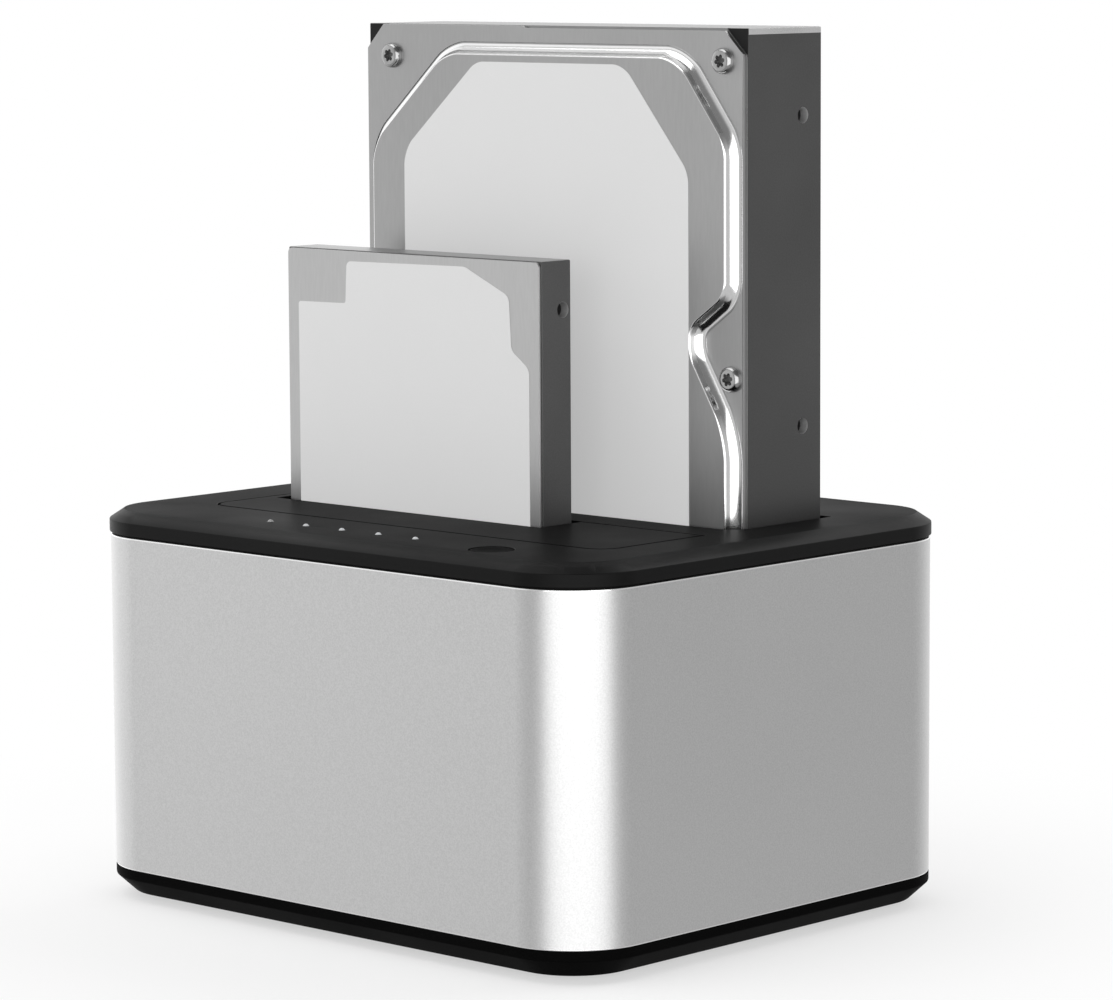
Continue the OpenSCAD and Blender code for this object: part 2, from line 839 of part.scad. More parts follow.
module switch_housing() {
    front = back_y - bezel_pocket;
    inside_w = bezel_w - 2.6;
    inside_h = bezel_h - 2.4;
    well_h = rocker_h + 2 * rocker_gap;
    stub = rocker_h / 2 + pivot_out + clear;
    color([0.07, 0.07, 0.07]) difference() {
        union() {
            box(
                [switch_x - bezel_w / 2, front, switch_z - bezel_h / 2],
                [switch_x + bezel_w / 2, front + bezel_t, switch_z + bezel_h / 2]
            );
            box(
                [switch_x - inside_w / 2, back_y - switch_body_l, switch_z - inside_h / 2],
                [switch_x + inside_w / 2, front + step, switch_z + inside_h / 2]
            );
            for (x = [switch_x - terminal_x, switch_x + terminal_x])
                translate([x, back_y - switch_body_l + step, switch_z])
                    box(
                        [-terminal_w / 2, -terminal_l, -terminal_t / 2],
                        [terminal_w / 2, 0, terminal_t / 2]
                    );
        }
        box(
            [switch_x - rocker_well_w / 2, pivot_y - 4.4, switch_z - well_h / 2],
            [switch_x + rocker_well_w / 2, back_y + 1, switch_z + well_h / 2]
        );
        post([switch_x, pivot_y], pivot_r + run, switch_z - stub, switch_z + stub);
    }
}

// Rocker, pressed on its left end as seen from behind, with a pivot stub above and below
module power_rocker() {
    half = rocker_w / 2;
    color([0.05, 0.05, 0.05]) translate([switch_x, pivot_y, switch_z]) rotate(rocker_tilt) {
        translate([0, 0, -rocker_h / 2]) linear_extrude(rocker_h) polygon([
            [-half, rocker_reach], [0, rocker_reach - 1.1], [half, rocker_reach],
            [half - 0.4, 0.6], [3, -2.4], [-3, -2.4], [-half + 0.4, 0.6]
        ]);
        post([0, 0], pivot_r, -rocker_h / 2 - pivot_out, rocker_h / 2 + pivot_out);
    }
}

// Front board, lights and button
module panel_board() {
    color([0.05, 0.3, 0.18]) difference() {
        box(
            [-panel_board_w / 2, panel_board_y0, panel_board_z],
            [panel_board_w / 2, panel_board_y1, panel_board_z + board_t]
        );
        for (sx = [-1, 1])
            post(
                [sx * panel_post_x, panel_post_y], board_screw_r + 0.2,
                panel_board_z - 1, panel_board_z + board_t + 1
            );
    }
}

module panel_screws() {
    color([0.6, 0.6, 0.62])
        for (sx = [-1, 1])
            screw(
                [sx * panel_post_x, panel_post_y], board_screw_r, board_head_r, board_head_h,
                panel_board_z, board_t + 4.5
            );
}

module status_lights() {
    z = panel_board_z + board_t;
    color([0.85, 0.88, 0.95])
        for (i = [0:light_count - 1])
            box([light_x(i) - 1, light_y - 1.6, z], [light_x(i) + 1, light_y + 1.6, z + 1]);
}

// Five clear stems on one bar, each ending flush in the cover
module light_pipes() {
    z = panel_board_z + board_t + 1.3;
    color([0.9, 0.92, 0.95]) {
        for (i = [0:light_count - 1]) {
            post([light_x(i), light_y], 1.3, z, plate_z - clear);
            post([light_x(i), light_y], light_d / 2, plate_z - clear - step, top_z);
        }
        box(
            [light_x(0), light_y - 0.9, z + 2.6],
            [light_x(light_count - 1), light_y + 0.9, z + 4.6]
        );
    }
}

module tact_switch() {
    z = panel_board_z + board_t;
    color([0.15, 0.15, 0.15]) difference() {
        box(
            [button_x - tact_w / 2, button_y - tact_w / 2, z],
            [button_x + tact_w / 2, button_y + tact_w / 2, z + tact_h]
        );
        post([button_x, button_y], 1.65 + run, z + tact_h - button_travel - 0.9, z + tact_h + 1);
    }
}

function plunger_top() = panel_board_z + board_t + tact_h + button_travel + 0.1;

module tact_plunger() {
    color([0.3, 0.3, 0.3])
        post([button_x, button_y], 1.65, plunger_top() - button_travel - 0.8, plunger_top());
}

module round_button() {
    color([0.09, 0.09, 0.09]) {
        post([button_x, button_y], button_d / 2, plate_z - 0.8, top_z - button_sink);
        post([button_x, button_y], button_d / 2 + button_flange, plate_z - 1.4, plate_z - 0.25);
        post([button_x, button_y], 1.8, plunger_top(), plate_z - 1);
    }
}

// Ribbon from the front board down to the main board, bowed back between them
module flat_cable() {
    y = panel_post_y - 1.5;
    low = board_top + cable_socket_h;
    top = panel_board_z - cable_socket_h;
    near = (top - low) / 10;
    far = 3 * near;
    belly = y + cable_belly;
    t = cable_t;
    color([0.85, 0.85, 0.82])
        translate([cable_x - cable_w / 2, 0, 0]) rotate([90, 0, 90]) linear_extrude(cable_w) polygon([
            [y + t, top], [y, top], [y, top - near], [belly, top - far], [belly, low + far],
            [y, low + near], [y, low], [y + t, low], [y + t, low + near - t],
            [belly + t, low + far - t], [belly + t, top - far + t], [y + t, top - near + t]
        ]);
}

module cable_sockets() {
    x0 = cable_x - cable_socket_w / 2;
    x1 = x0 + cable_socket_w;
    y1 = panel_post_y + 0.4;
    y0 = y1 - cable_socket_d;
    color([0.9, 0.88, 0.8]) {
        box([x0, y0, board_top], [x1, y1, board_top + cable_socket_h]);
        box([x0, y0, panel_board_z - cable_socket_h], [x1, y1, panel_board_z]);
    }
}

// Spring flaps
// Flap as it lies closed, with its knuckles, its stops and, if asked for, the small drive's notch
module flap(drive_y, notched) {
    y0 = flap_y0(drive_y);
    y1 = flap_y1(drive_y);
    hy = hinge_y(drive_y);
    difference() {
        union() {
            translate([0, 0, top_z - flap_t]) linear_extrude(flap_t) {
                translate([flap_x0 + flap_r, y0]) square([flap_w - 2 * flap_r, flap_l]);
                translate([flap_x0, y0 + flap_r]) square([flap_w, flap_l - flap_r]);
                for (x = [flap_x0 + flap_r, flap_x1 - flap_r])
                    translate([x, y0 + flap_r]) circle(flap_r);
            }
            for (x = hinge_xs) knuckle(x + ear_t + clear, hy);
            for (side = [0, 1])
                let (edge = side == 0 ? flap_x0 : flap_x1, out = side == 0 ? -1 : 1)
                translate([edge, y1 - 3 - stop_l, 0]) mirror([side, 0, 0]) {
                    box([-stop_out, 0, plate_z - 0.15 - stop_t], [1.5, stop_l, plate_z - 0.15]);
                    box([0.1, 0, plate_z - 0.15 - step], [1.5, stop_l, top_z - flap_t + step]);
                }
        }
        if (notched)
            box(
                [notch_x0, drive_y - small_flange - notch_front, plate_z - 5],
                [notch_x1, y1 + 1, top_z + 1]
            );
        for (x = hinge_xs) bar_x([x - 1, hy, hinge_z], pin_r + run, pin_len + 2);
    }
}

// Arm under the flap that reaches forward to the hinge pin, below the cover's plate
module knuckle(x, y) {
    bar_x([x, y, hinge_z], knuckle_r, knuckle_w);
    under = top_z - flap_t - hinge_z;
    translate([x, y, hinge_z]) rotate([90, 0, 90]) linear_extrude(knuckle_w) polygon([
        [0, -knuckle_r], [hinge_reach + 3, -0.3], [hinge_reach + 5.5, under + step],
        [hinge_reach, under + step], [hinge_reach, 1.05], [0, 1.05]
    ]);
}

module front_flap() {
    color([0.12, 0.12, 0.125]) flap(front_drive_y, true);
}

// The rear flap hangs beside the large drive, its free edge resting on the drive's raised field
module rear_flap() {
    tip = flap_l + hinge_reach;
    room = rear_drive_y - large_t - hinge_y(rear_drive_y) - rest_gap;
    reach = norm([tip, hinge_drop]);
    angle = acos(room / reach) + atan2(hinge_drop, tip);
    color([0.12, 0.12, 0.125])
        translate([0, hinge_y(rear_drive_y), hinge_z]) rotate([-angle, 0, 0])
            translate([0, -hinge_y(rear_drive_y), -hinge_z]) flap(rear_drive_y, false);
}

module hinge_pins(drive_y) {
    color([0.7, 0.7, 0.72])
        for (x = hinge_xs) bar_x([x, hinge_y(drive_y), hinge_z], pin_r, pin_len);
}

module front_hinge_pins() {
    hinge_pins(front_drive_y);
}

module rear_hinge_pins() {
    hinge_pins(rear_drive_y);
}

// Coil round each pin beside the knuckle, drawn as a ridged sleeve, with its leg under the plate
module flap_springs(drive_y) {
    y = hinge_y(drive_y);
    inner = pin_r + 0.1;
    wire = 0.4;
    turns = 6;
    pitch = spring_w / turns;
    color([0.65, 0.65, 0.68])
        for (x = hinge_xs)
            translate([x + ear_t + 2 * clear + knuckle_w, y, hinge_z]) {
                rotate([0, 90, 0]) rotate_extrude() polygon(concat(
                    [[inner, spring_w], [inner, 0]],
                    [
                        for (i = [0:turns - 1])
                            each [[inner + wire * 0.6, i * pitch], [inner + wire, (i + 0.5) * pitch]]
                    ],
                    [[inner + wire * 0.6, spring_w]]
                ));
                box(
                    [spring_w - wire, -inner - wire, 0],
                    [spring_w, -inner - wire / 4, plate_z - hinge_z - run]
                );
            }
}

module front_flap_springs() {
    flap_springs(front_drive_y);
}

module rear_flap_springs() {
    flap_springs(rear_drive_y);
}

// Drives
// Puts a drive's own frame in its bay: X from its left side, Y back from its back, Z from its end
module in_bay(drive_y, end_z) {
    translate([drive_left, drive_y, end_z]) children();
}

// Flat outline of X and Z, with its front face a given distance before the drive's back
module facing_front(front, t) {
    translate([0, -front + t, 0]) rotate([90, 0, 0]) linear_extrude(t) children();
}

module plug_space(h) {
    x = connector_x - drive_left;
    box([x - plug_w / 2, -connector_back - plug_d / 2, -1], [x + plug_w / 2, 1, h]);
}

// Plug in the drive's end: a shroud with a tongue of contacts inside
module plug() {
    x = connector_x - drive_left;
    y = -connector_back;
    color([0.08, 0.08, 0.08]) difference() {
        box(
            [x - plug_w / 2 + 0.1, y - plug_d / 2 + 0.1, 0],
            [x + plug_w / 2 - 0.1, y + plug_d / 2, plug_h - 0.1]
        );
        difference() {
            box(
                [x - plug_mouth_w / 2, y - plug_mouth_d / 2, -1],
                [x + plug_mouth_w / 2, y + plug_mouth_d / 2, plug_mouth_h]
            );
            box(
                [x - tongue_w / 2, y - tongue_t / 2, 0.3],
                [x + tongue_w / 2, y + tongue_t / 2, plug_mouth_h + 1]
            );
        }
    }
}

module large_casting() {
    color([0.3, 0.3, 0.31]) in_bay(rear_drive_y, rear_end_z) difference() {
        union() {
            box([0, -large_board_t - large_casting_t, 0], [large_w, -large_board_t, large_l]);
            bar_front([motor_at().x, -0.2, motor_at().y], large_motor_r, large_board_t);
        }
        plug_space(plug_h);
        for (z = large_side_holes, side = [0, 1])
            bar_x([side * (large_w - 4.5) - 1 + side, -large_side_hole_y, z], hole_r, 5.5);
        for (at = large_screw_at)
            bar_front([at.x, -large_flange + large_sheet_t + 4, at.y], board_screw_r + run, 5);
        for (at = large_board_screw_at())
            bar_front([at.x, 1, at.y], 1 + run, 5);
    }
}

function motor_at() = [large_w / 2, large_board_l - 2];
function large_board_screw_at() = [
    for (x = [12, large_w - 12], z = [20, large_board_l - 8]) [x, z]
];

// Corners of the raised field's crest, from the connector end round the right side, each with its
// radius. The bay in the right side leaves room for the middle cover screw
function field_corners() =
    let (
        right = large_w - field_right,
        bay = right - field_bay,
        mid = field_bay_z,
        top = large_l - field_top
    ) [
        [12, field_low, 3], [right - 11.3, field_low, 3], [right, field_low + 12.5, 8],
        [right, mid - 13.5, 7], [bay, mid + 1.5, 5], [bay, mid + 7, 4], [right, mid + 13.5, 5],
        [right, top - 16, 8], [right - 12.1, top, 9], [field_left + 20.2, top, 9],
        [field_left, top - 18.4, 9], [field_left, field_low + 9.5, 8]
    ];

module large_cover() {
    front = large_flange;
    cut = large_corner_cut;
    field = rounded_outline(field_corners());
    slope = 1.2;
    h = large_field_h;
    color([0.62, 0.62, 0.63]) in_bay(rear_drive_y, rear_end_z) difference() {
        union() {
            facing_front(front, large_sheet_t) polygon([
                [cut, 0.4], [large_w - cut, 0.4], [large_w - 0.4, cut], [large_w - 0.4, large_l - cut],
                [large_w - cut, large_l - large_step_h], [large_step_x, large_l - large_step_h],
                [large_step_x - 1, large_l - 0.1], [cut, large_l - 0.1], [0.4, large_l - cut], [0.4, cut]
            ]);
            translate([0, -front + step, 0]) rotate([90, 0, 0]) raised_field(field, [
                [-slope - 0.1, 0], [-slope + 0.15, 0.2 * h], [-slope / 2, 0.5 * h],
                [-0.25, 0.84 * h], [0.15, h + step]
            ]);
        }
        for (at = large_screw_at)
            bar_front([at.x, -front + large_sheet_t + 1, at.y], board_screw_r + 0.15, large_sheet_t + 2);
    }
}

// Raised heads with a six-lobed drive
module large_cover_screws() {
    head_h = 1.3;
    color([0.75, 0.75, 0.77]) in_bay(rear_drive_y, rear_end_z)
        for (at = large_screw_at)
            translate([at.x, -large_flange, at.y]) rotate([90, 0, 0]) difference() {
                union() {
                    post([0, 0], board_screw_r, -large_sheet_t - 3, step);
                    rotate_extrude() polygon([[0, 0], [2.5, 0], [2.5, 0.5], [2, head_h], [0, head_h]]);
                }
                translate([0, 0, 0.4]) linear_extrude(head_h) {
                    circle(0.85);
                    for (a = [0:60:300]) rotate(a) translate([0.85, 0]) circle(0.3, $fn = 24);
                }
            }
}

module large_label() {
    left = label_side;
    right = large_w - label_side + 1.2;
    top = large_l - label_top;
    corners = [
        [left, label_low, 1], [right, label_low, 1], [right, top - 20.3, 6],
        [right - 16.6, top, 6], [left + 20.2, top, 5], [left, top - 18, 7]
    ];
    color([0.85, 0.85, 0.85]) in_bay(rear_drive_y, rear_end_z)
        facing_front(large_t + label_t, label_t) polygon(rounded_outline(corners));
}

module large_board() {
    board_in = 5;
    step_in = 30;
    color([0.04, 0.14, 0.1]) in_bay(rear_drive_y, rear_end_z) difference() {
        facing_front(large_board_t, large_board_t - 0.05) {
            translate([board_in, 2]) square([large_w - 2 * board_in, large_board_l - 2]);
            translate([step_in, large_board_l - 1]) square([large_w - 2 * step_in, 8]);
        }
        plug_space(plug_h + 0.3);
        bar_front([motor_at().x, 1, motor_at().y], large_motor_r + 0.7, 4);
        for (at = large_board_screw_at()) bar_front([at.x, 1, at.y], 1.2, 4);
    }
}

module large_board_screws() {
    color([0.6, 0.6, 0.62]) in_bay(rear_drive_y, rear_end_z)
        for (at = large_board_screw_at())
            translate([at.x, -0.05, at.y]) rotate([-90, 0, 0]) {
                translate([0, 0, -3.9]) cylinder(h = 4, r = 1);
                cylinder(h = 0.5, r = 2);
            }
}

module large_plug() {
    in_bay(rear_drive_y, rear_end_z) plug();
}

module small_casting() {
    color([0.36, 0.36, 0.37]) in_bay(front_drive_y, front_end_z) difference() {
        box([0, -small_board_t - small_casting_t, 0], [small_w, -small_board_t, small_l]);
        plug_space(plug_h);
        for (z = small_side_holes, side = [0, 1])
            bar_x([side * (small_w - 3.5) - 1 + side, -small_side_hole_y, z], hole_r, 4.5);
        for (at = small_board_screw_at()) bar_front([at.x, 1, at.y], 0.8 + run, 4.4);
    }
}

function small_board_screw_at() = [
    [8, 12], [small_w - 5, 12], [8, small_board_l - 5], [small_w - 8, small_board_l - 5]
];

module small_cover() {
    cut = 2;
    color([0.66, 0.66, 0.67]) in_bay(front_drive_y, front_end_z)
        facing_front(small_flange, small_sheet_t) polygon(rounded_outline([
            [0.3, 0.3, cut], [small_w - 0.3, 0.3, cut], [small_w - 0.3, small_l - 0.2, cut / 2],
            [0.3, small_l - 0.2, cut / 2]
        ]));
}

module small_label() {
    left = small_label_side;
    right = small_w - small_label_side + 0.5;
    top = small_l - 2;
    corners = [
        [left, small_label_low, 0.8], [right, small_label_low, 0.8], [right, top - 18.8, 2.5],
        [right - 4.7, top - 15.4, 2], [right - 5.3, top - 5, 2], [right - 17.1, top + 0.2, 3],
        [left + 13.8, top - 0.2, 1.2], [left + 13.4, top - 8.6, 0.6], [left, top - 8.8, 0.6]
    ];
    color([0.85, 0.85, 0.85]) in_bay(front_drive_y, front_end_z)
        facing_front(small_flange + label_t, label_t) polygon(rounded_outline(corners));
}

module small_board() {
    color([0.04, 0.14, 0.1]) in_bay(front_drive_y, front_end_z) difference() {
        facing_front(small_board_t, small_board_t - 0.05) polygon([
            [4, 1.5], [small_w - 2, 1.5], [small_w - 2, small_board_l], [44, small_board_l],
            [36, small_board_l - 7], [26, small_board_l - 7], [18, small_board_l], [4, small_board_l]
        ]);
        plug_space(plug_h + 0.3);
        for (at = small_board_screw_at()) bar_front([at.x, 1, at.y], 1, 4);
    }
}

module small_board_screws() {
    color([0.6, 0.6, 0.62]) in_bay(front_drive_y, front_end_z)
        for (at = small_board_screw_at())
            translate([at.x, -0.05, at.y]) rotate([-90, 0, 0]) {
                translate([0, 0, -3.2]) cylinder(h = 3.3, r = 0.8);
                cylinder(h = 0.3, r = 1.6);
            }
}

module small_plug() {
    in_bay(front_drive_y, front_end_z) plug();
}

sleeve();
top_cover();
base();
rubber_feet();
case_screws();
front_well();
rear_well();
well_screws();
main_board();
board_screws();
front_receptacle();
rear_receptacle();
bridge_chip();
regulator_chips();
power_coils();
capacitors();
crystal();
usb_socket();
usb_tongue();
power_jack();
jack_pin();
switch_housing();
power_rocker();
panel_board();
panel_screws();
status_lights();
light_pipes();
tact_switch();
tact_plunger();
round_button();
flat_cable();
cable_sockets();
front_flap();
front_hinge_pins();
front_flap_springs();
rear_flap();
rear_hinge_pins();
rear_flap_springs();
large_casting();
large_cover();
large_cover_screws();
large_label();
large_board();
large_board_screws();
large_plug();
small_casting();
small_cover();
small_label();
small_board();
small_board_screws();
small_plug();
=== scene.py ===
import json
from contextlib import contextmanager
from math import atan, cos, pi, radians, sin, tan

import bmesh
import bpy
from mathutils import Matrix, Vector


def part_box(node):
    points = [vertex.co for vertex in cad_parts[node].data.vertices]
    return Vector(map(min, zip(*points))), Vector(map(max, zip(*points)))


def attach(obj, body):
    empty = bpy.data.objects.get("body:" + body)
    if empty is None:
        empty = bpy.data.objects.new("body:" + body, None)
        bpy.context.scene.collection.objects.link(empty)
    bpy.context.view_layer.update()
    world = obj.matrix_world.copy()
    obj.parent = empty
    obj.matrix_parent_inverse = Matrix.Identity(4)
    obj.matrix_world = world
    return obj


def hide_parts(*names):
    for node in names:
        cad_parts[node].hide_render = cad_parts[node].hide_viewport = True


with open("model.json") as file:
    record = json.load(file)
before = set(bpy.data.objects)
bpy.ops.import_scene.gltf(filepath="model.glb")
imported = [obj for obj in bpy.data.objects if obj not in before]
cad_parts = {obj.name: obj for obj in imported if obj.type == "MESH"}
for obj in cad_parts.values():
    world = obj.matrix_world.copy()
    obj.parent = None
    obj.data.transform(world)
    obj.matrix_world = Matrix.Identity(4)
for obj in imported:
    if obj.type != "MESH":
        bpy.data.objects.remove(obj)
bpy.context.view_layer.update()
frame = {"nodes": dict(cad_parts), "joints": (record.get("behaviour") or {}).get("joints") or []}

mm = 0.001


# Sleeve
# The four side walls are one thin extrusion of aluminium, cut to length and fine bead-blasted,
# then anodised in its own colour. Its two rims are turned bright after the blasting. The back
# has openings for the two sockets and a shallow pocket for the power switch.
def only(piece):
    """Selects one piece and makes it the active one."""
    bpy.ops.object.select_all(action="DESELECT")
    piece.select_set(True)
    bpy.context.view_layer.objects.active = piece


def settle(piece):
    """Moves a piece's place, turn and size into its mesh."""
    only(piece)
    bpy.ops.object.transform_apply(location=True, rotation=True, scale=True)


def block(name, low, high):
    """A block between two corners, as a start for modelling."""
    bpy.ops.object.select_all(action="DESELECT")
    bpy.ops.mesh.primitive_cube_add(size=1, location=(Vector(low) + Vector(high)) / 2)
    piece = bpy.context.active_object
    piece.name = name
    piece.scale = Vector(high) - Vector(low)
    settle(piece)
    return piece


def rod(name, start, end, radius, sides=48):
    """A round bar from one point to another, as a start for modelling."""
    axis = Vector(end) - Vector(start)
    bpy.ops.object.select_all(action="DESELECT")
    bpy.ops.mesh.primitive_cylinder_add(
        vertices=sides, radius=radius, depth=axis.length,
        location=(Vector(start) + Vector(end)) / 2,
        rotation=axis.to_track_quat("Z", "Y").to_euler(),
    )
    piece = bpy.context.active_object
    piece.name = name
    settle(piece)
    return piece


@contextmanager
def editing(piece):
    """Holds one piece open in edit mode."""
    only(piece)
    bpy.ops.object.mode_set(mode="EDIT")
    yield
    bpy.ops.object.mode_set(mode="OBJECT")


def pick(piece, kind, test):
    """In edit mode, selects just the vertices, edges or faces that pass a test."""
    bpy.ops.mesh.select_mode(type=kind)
    bpy.ops.mesh.select_all(action="DESELECT")
    mesh = bmesh.from_edit_mesh(piece.data)
    for item in {"VERT": mesh.verts, "EDGE": mesh.edges, "FACE": mesh.faces}[kind]:
        if test(item):
            item.select_set(True)
    bmesh.update_edit_mesh(piece.data)


def upright(edge):
    """True of an edge that runs along Z."""
    a, b = (v.co for v in edge.verts)
    return abs(a.z - b.z) > 0.99 * (a - b).length


def round_edges(piece, radius, segments, test=upright):
    """Rounds the edges that pass a test."""
    with editing(piece):
        pick(piece, "EDGE", test)
        bpy.ops.mesh.bevel(offset=radius, segments=segments, affect="EDGES", clamp_overlap=False)


def apply_modifier(piece, kind, **settings):
    """Adds a modifier with its settings and applies it."""
    only(piece)
    modifier = piece.modifiers.new(kind.lower(), kind)
    for name, value in settings.items():
        setattr(modifier, name, value)
    bpy.ops.object.modifier_apply(modifier=modifier.name)


def cut(piece, *tools):
    """Takes the tools' solids out of a piece, which keeps their finish, and drops the tools."""
    for tool in tools:
        apply_modifier(
            piece, "BOOLEAN", operation="DIFFERENCE", object=tool, solver="EXACT",
            material_mode="TRANSFER",
        )
        bpy.data.objects.remove(tool)


def soften(piece, width, angle=35, segments=2, material=-1):
    """Rounds the sharp edges and evens the shading over the flat faces."""
    apply_modifier(
        piece, "BEVEL", width=width, segments=segments, limit_method="ANGLE",
        angle_limit=radians(angle), use_clamp_overlap=False, material=material,
        miter_outer="MITER_ARC",
    )
    only(piece)
    bpy.ops.object.shade_smooth_by_angle(angle=radians(40))
    apply_modifier(piece, "WEIGHTED_NORMAL", keep_sharp=True, weight=60)


def node_in(tree, kind, inputs=None, **settings):
    """Adds a shader node; its inputs are links or plain values, by socket name or number."""
    node = tree.nodes.new(kind)
    for name, value in settings.items():
        setattr(node, name, value)
    for name, value in (inputs or {}).items():
        if isinstance(value, bpy.types.NodeSocket):
            tree.links.new(value, node.inputs[name])
        else:
            node.inputs[name].default_value = value
    return node


def worked_out(tree, operation, *values):
    """The result of a Math node on links or plain numbers."""
    return node_in(tree, "ShaderNodeMath", dict(enumerate(values)), operation=operation).outputs[0]


def mixed_colour(tree, share, first, second):
    """The colour between two others, by a share from 0 to 1."""
    return node_in(
        tree, "ShaderNodeMix", {0: share, 6: first, 7: second}, data_type="RGBA"
    ).outputs[2]


def shader_group(name, sizes, results):
    """An empty node group that takes a Vector and named sizes, and the nodes at its two ends."""
    group = bpy.data.node_groups.new(name, "ShaderNodeTree")
    face = group.interface
    face.new_socket("Vector", in_out="INPUT", socket_type="NodeSocketVector")
    for size in sizes:
        face.new_socket(size, in_out="INPUT", socket_type="NodeSocketFloat")
    for result in results:
        face.new_socket(result, in_out="OUTPUT", socket_type="NodeSocketFloat")
    return group, group.nodes.new("NodeGroupInput"), group.nodes.new("NodeGroupOutput")


def surface_change_group():
    """Slow clouds and fine specks over a surface, each from 0 to 1 and about 0.5 on the whole."""
    group, start, end = shader_group(
        "surface_change", ("Cloud Size", "Speck Size"), ("Clouds", "Specks")
    )
    for name, size, detail in (("Clouds", "Cloud Size", 3.0), ("Specks", "Speck Size", 1.0)):
        scale = worked_out(group, "DIVIDE", 1.0, start.outputs[size])
        noise = node_in(
            group, "ShaderNodeTexNoise",
            {"Vector": start.outputs["Vector"], "Scale": scale, "Detail": detail},
        )
        spread = node_in(
            group, "ShaderNodeMapRange",
            {"Value": noise.outputs["Fac"], "From Min": 0.3, "From Max": 0.7},
        )
        group.links.new(spread.outputs["Result"], end.inputs[name])
    return group


surface_change = surface_change_group()


def grey(level):
    """A neutral colour that renders as the given level out of 255."""
    value = level / 255
    linear = ((value + 0.055) / 1.055) ** 2.4 if value > 0.04045 else value / 12.92
    return linear, linear, linear, 1.0


def finish(
    name, dark, light, roughness, rough_change=0.05, metallic=0.0, specular=0.5, cloud=0.03,
    speck=0.0004, speck_share=0.3, bump=0.0, bump_depth=0.00002, stretch=(1, 1, 1),
):
    """A material whose colour wanders between two tones, and whose gloss wanders with it."""
    material = bpy.data.materials.new(name)
    material.use_nodes = True
    tree = material.node_tree
    shader = tree.nodes["Principled BSDF"]
    spot = node_in(tree, "ShaderNodeTexCoord")
    drawn = node_in(
        tree, "ShaderNodeMapping", {"Vector": spot.outputs["Object"], "Scale": stretch}
    )
    change = node_in(
        tree, "ShaderNodeGroup",
        {"Vector": drawn.outputs["Vector"], "Cloud Size": cloud, "Speck Size": speck},
        node_tree=surface_change,
    )
    blend = node_in(
        tree, "ShaderNodeMix",
        {0: speck_share, 2: change.outputs["Clouds"], 3: change.outputs["Specks"]},
    )
    colour = mixed_colour(tree, blend.outputs[0], dark, light)
    gloss = node_in(
        tree, "ShaderNodeMapRange",
        {
            "Value": change.outputs["Clouds"], "To Min": roughness - rough_change,
            "To Max": roughness + rough_change,
        },
    )
    tree.links.new(colour, shader.inputs["Base Color"])
    tree.links.new(gloss.outputs["Result"], shader.inputs["Roughness"])
    shader.inputs["Metallic"].default_value = metallic
    shader.inputs["Specular IOR Level"].default_value = specular
    if bump:
        relief = node_in(
            tree, "ShaderNodeBump",
            {"Strength": bump, "Distance": bump_depth, "Height": change.outputs["Specks"]},
        )
        tree.links.new(relief.outputs["Normal"], shader.inputs["Normal"])
    return material


def dress(piece, *materials):
    """Gives a piece its materials, in place of any that it has."""
    piece.data.materials.clear()
    for material in materials:
        piece.data.materials.append(material)


def place(piece, body, slot, *nodes):
    """A finished piece moves with a body and stands for these nodes; the slot is not used."""
    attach(piece, body)
    if nodes:
        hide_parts(*nodes)


blasted_metal = finish(
    "blasted_metal", grey(192), grey(206), 0.38, rough_change=0.02, metallic=1.0,
    cloud=0.05, speck=0.0003, speck_share=0.85, bump=0.15,
)
bright_metal = finish("bright_metal", grey(232), grey(244), 0.16, metallic=1.0)

sleeve_low, sleeve_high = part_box("sleeve")
wall = 2 * mm
corner_radius = 15.8 * mm
rim_bevel = 0.3 * mm

sleeve = block("sleeve_shell", sleeve_low, sleeve_high)
round_edges(sleeve, corner_radius, 28)
with editing(sleeve):
    pick(sleeve, "FACE", lambda face: abs(face.normal.z) > 0.9)
    bpy.ops.mesh.delete(type="FACE")
apply_modifier(sleeve, "SOLIDIFY", thickness=wall, offset=-1, use_even_offset=True)

socket_gap = 0.2 * mm
usb_low, usb_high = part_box("usb_socket")
usb_mouth_tall = 10.9 * mm
usb_low.z = usb_high.z - usb_mouth_tall
jack_low, jack_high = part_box("power_jack")
jack_mouth_tall = 11 * mm
jack_low.z = jack_high.z - jack_mouth_tall
switch_low, switch_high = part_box("switch_housing")
bezel_pocket = 1 * mm
bezel_flange = 1 * mm
for low, high in ((usb_low, usb_high), (jack_low, jack_high)):
    cut(sleeve, block(
        "socket_cut",
        (low.x - socket_gap, sleeve_high.y - 2 * wall, low.z - socket_gap),
        (high.x + socket_gap, sleeve_high.y + wall, high.z + socket_gap),
    ))
cut(
    sleeve,
    block(
        "pocket_cut",
        (switch_low.x - socket_gap, sleeve_high.y - bezel_pocket, switch_low.z - socket_gap),
        (switch_high.x + socket_gap, sleeve_high.y + wall, switch_high.z + socket_gap),
    ),
    block(
        "switch_cut",
        (switch_low.x + bezel_flange, sleeve_high.y - 2 * wall, switch_low.z + bezel_flange),
        (switch_high.x - bezel_flange, sleeve_high.y, switch_high.z - bezel_flange),
    ),
)
dress(sleeve, blasted_metal, bright_metal)
soften(sleeve, rim_bevel, angle=50, material=1)
place(sleeve, "dock", "sleeve_metal", "sleeve")


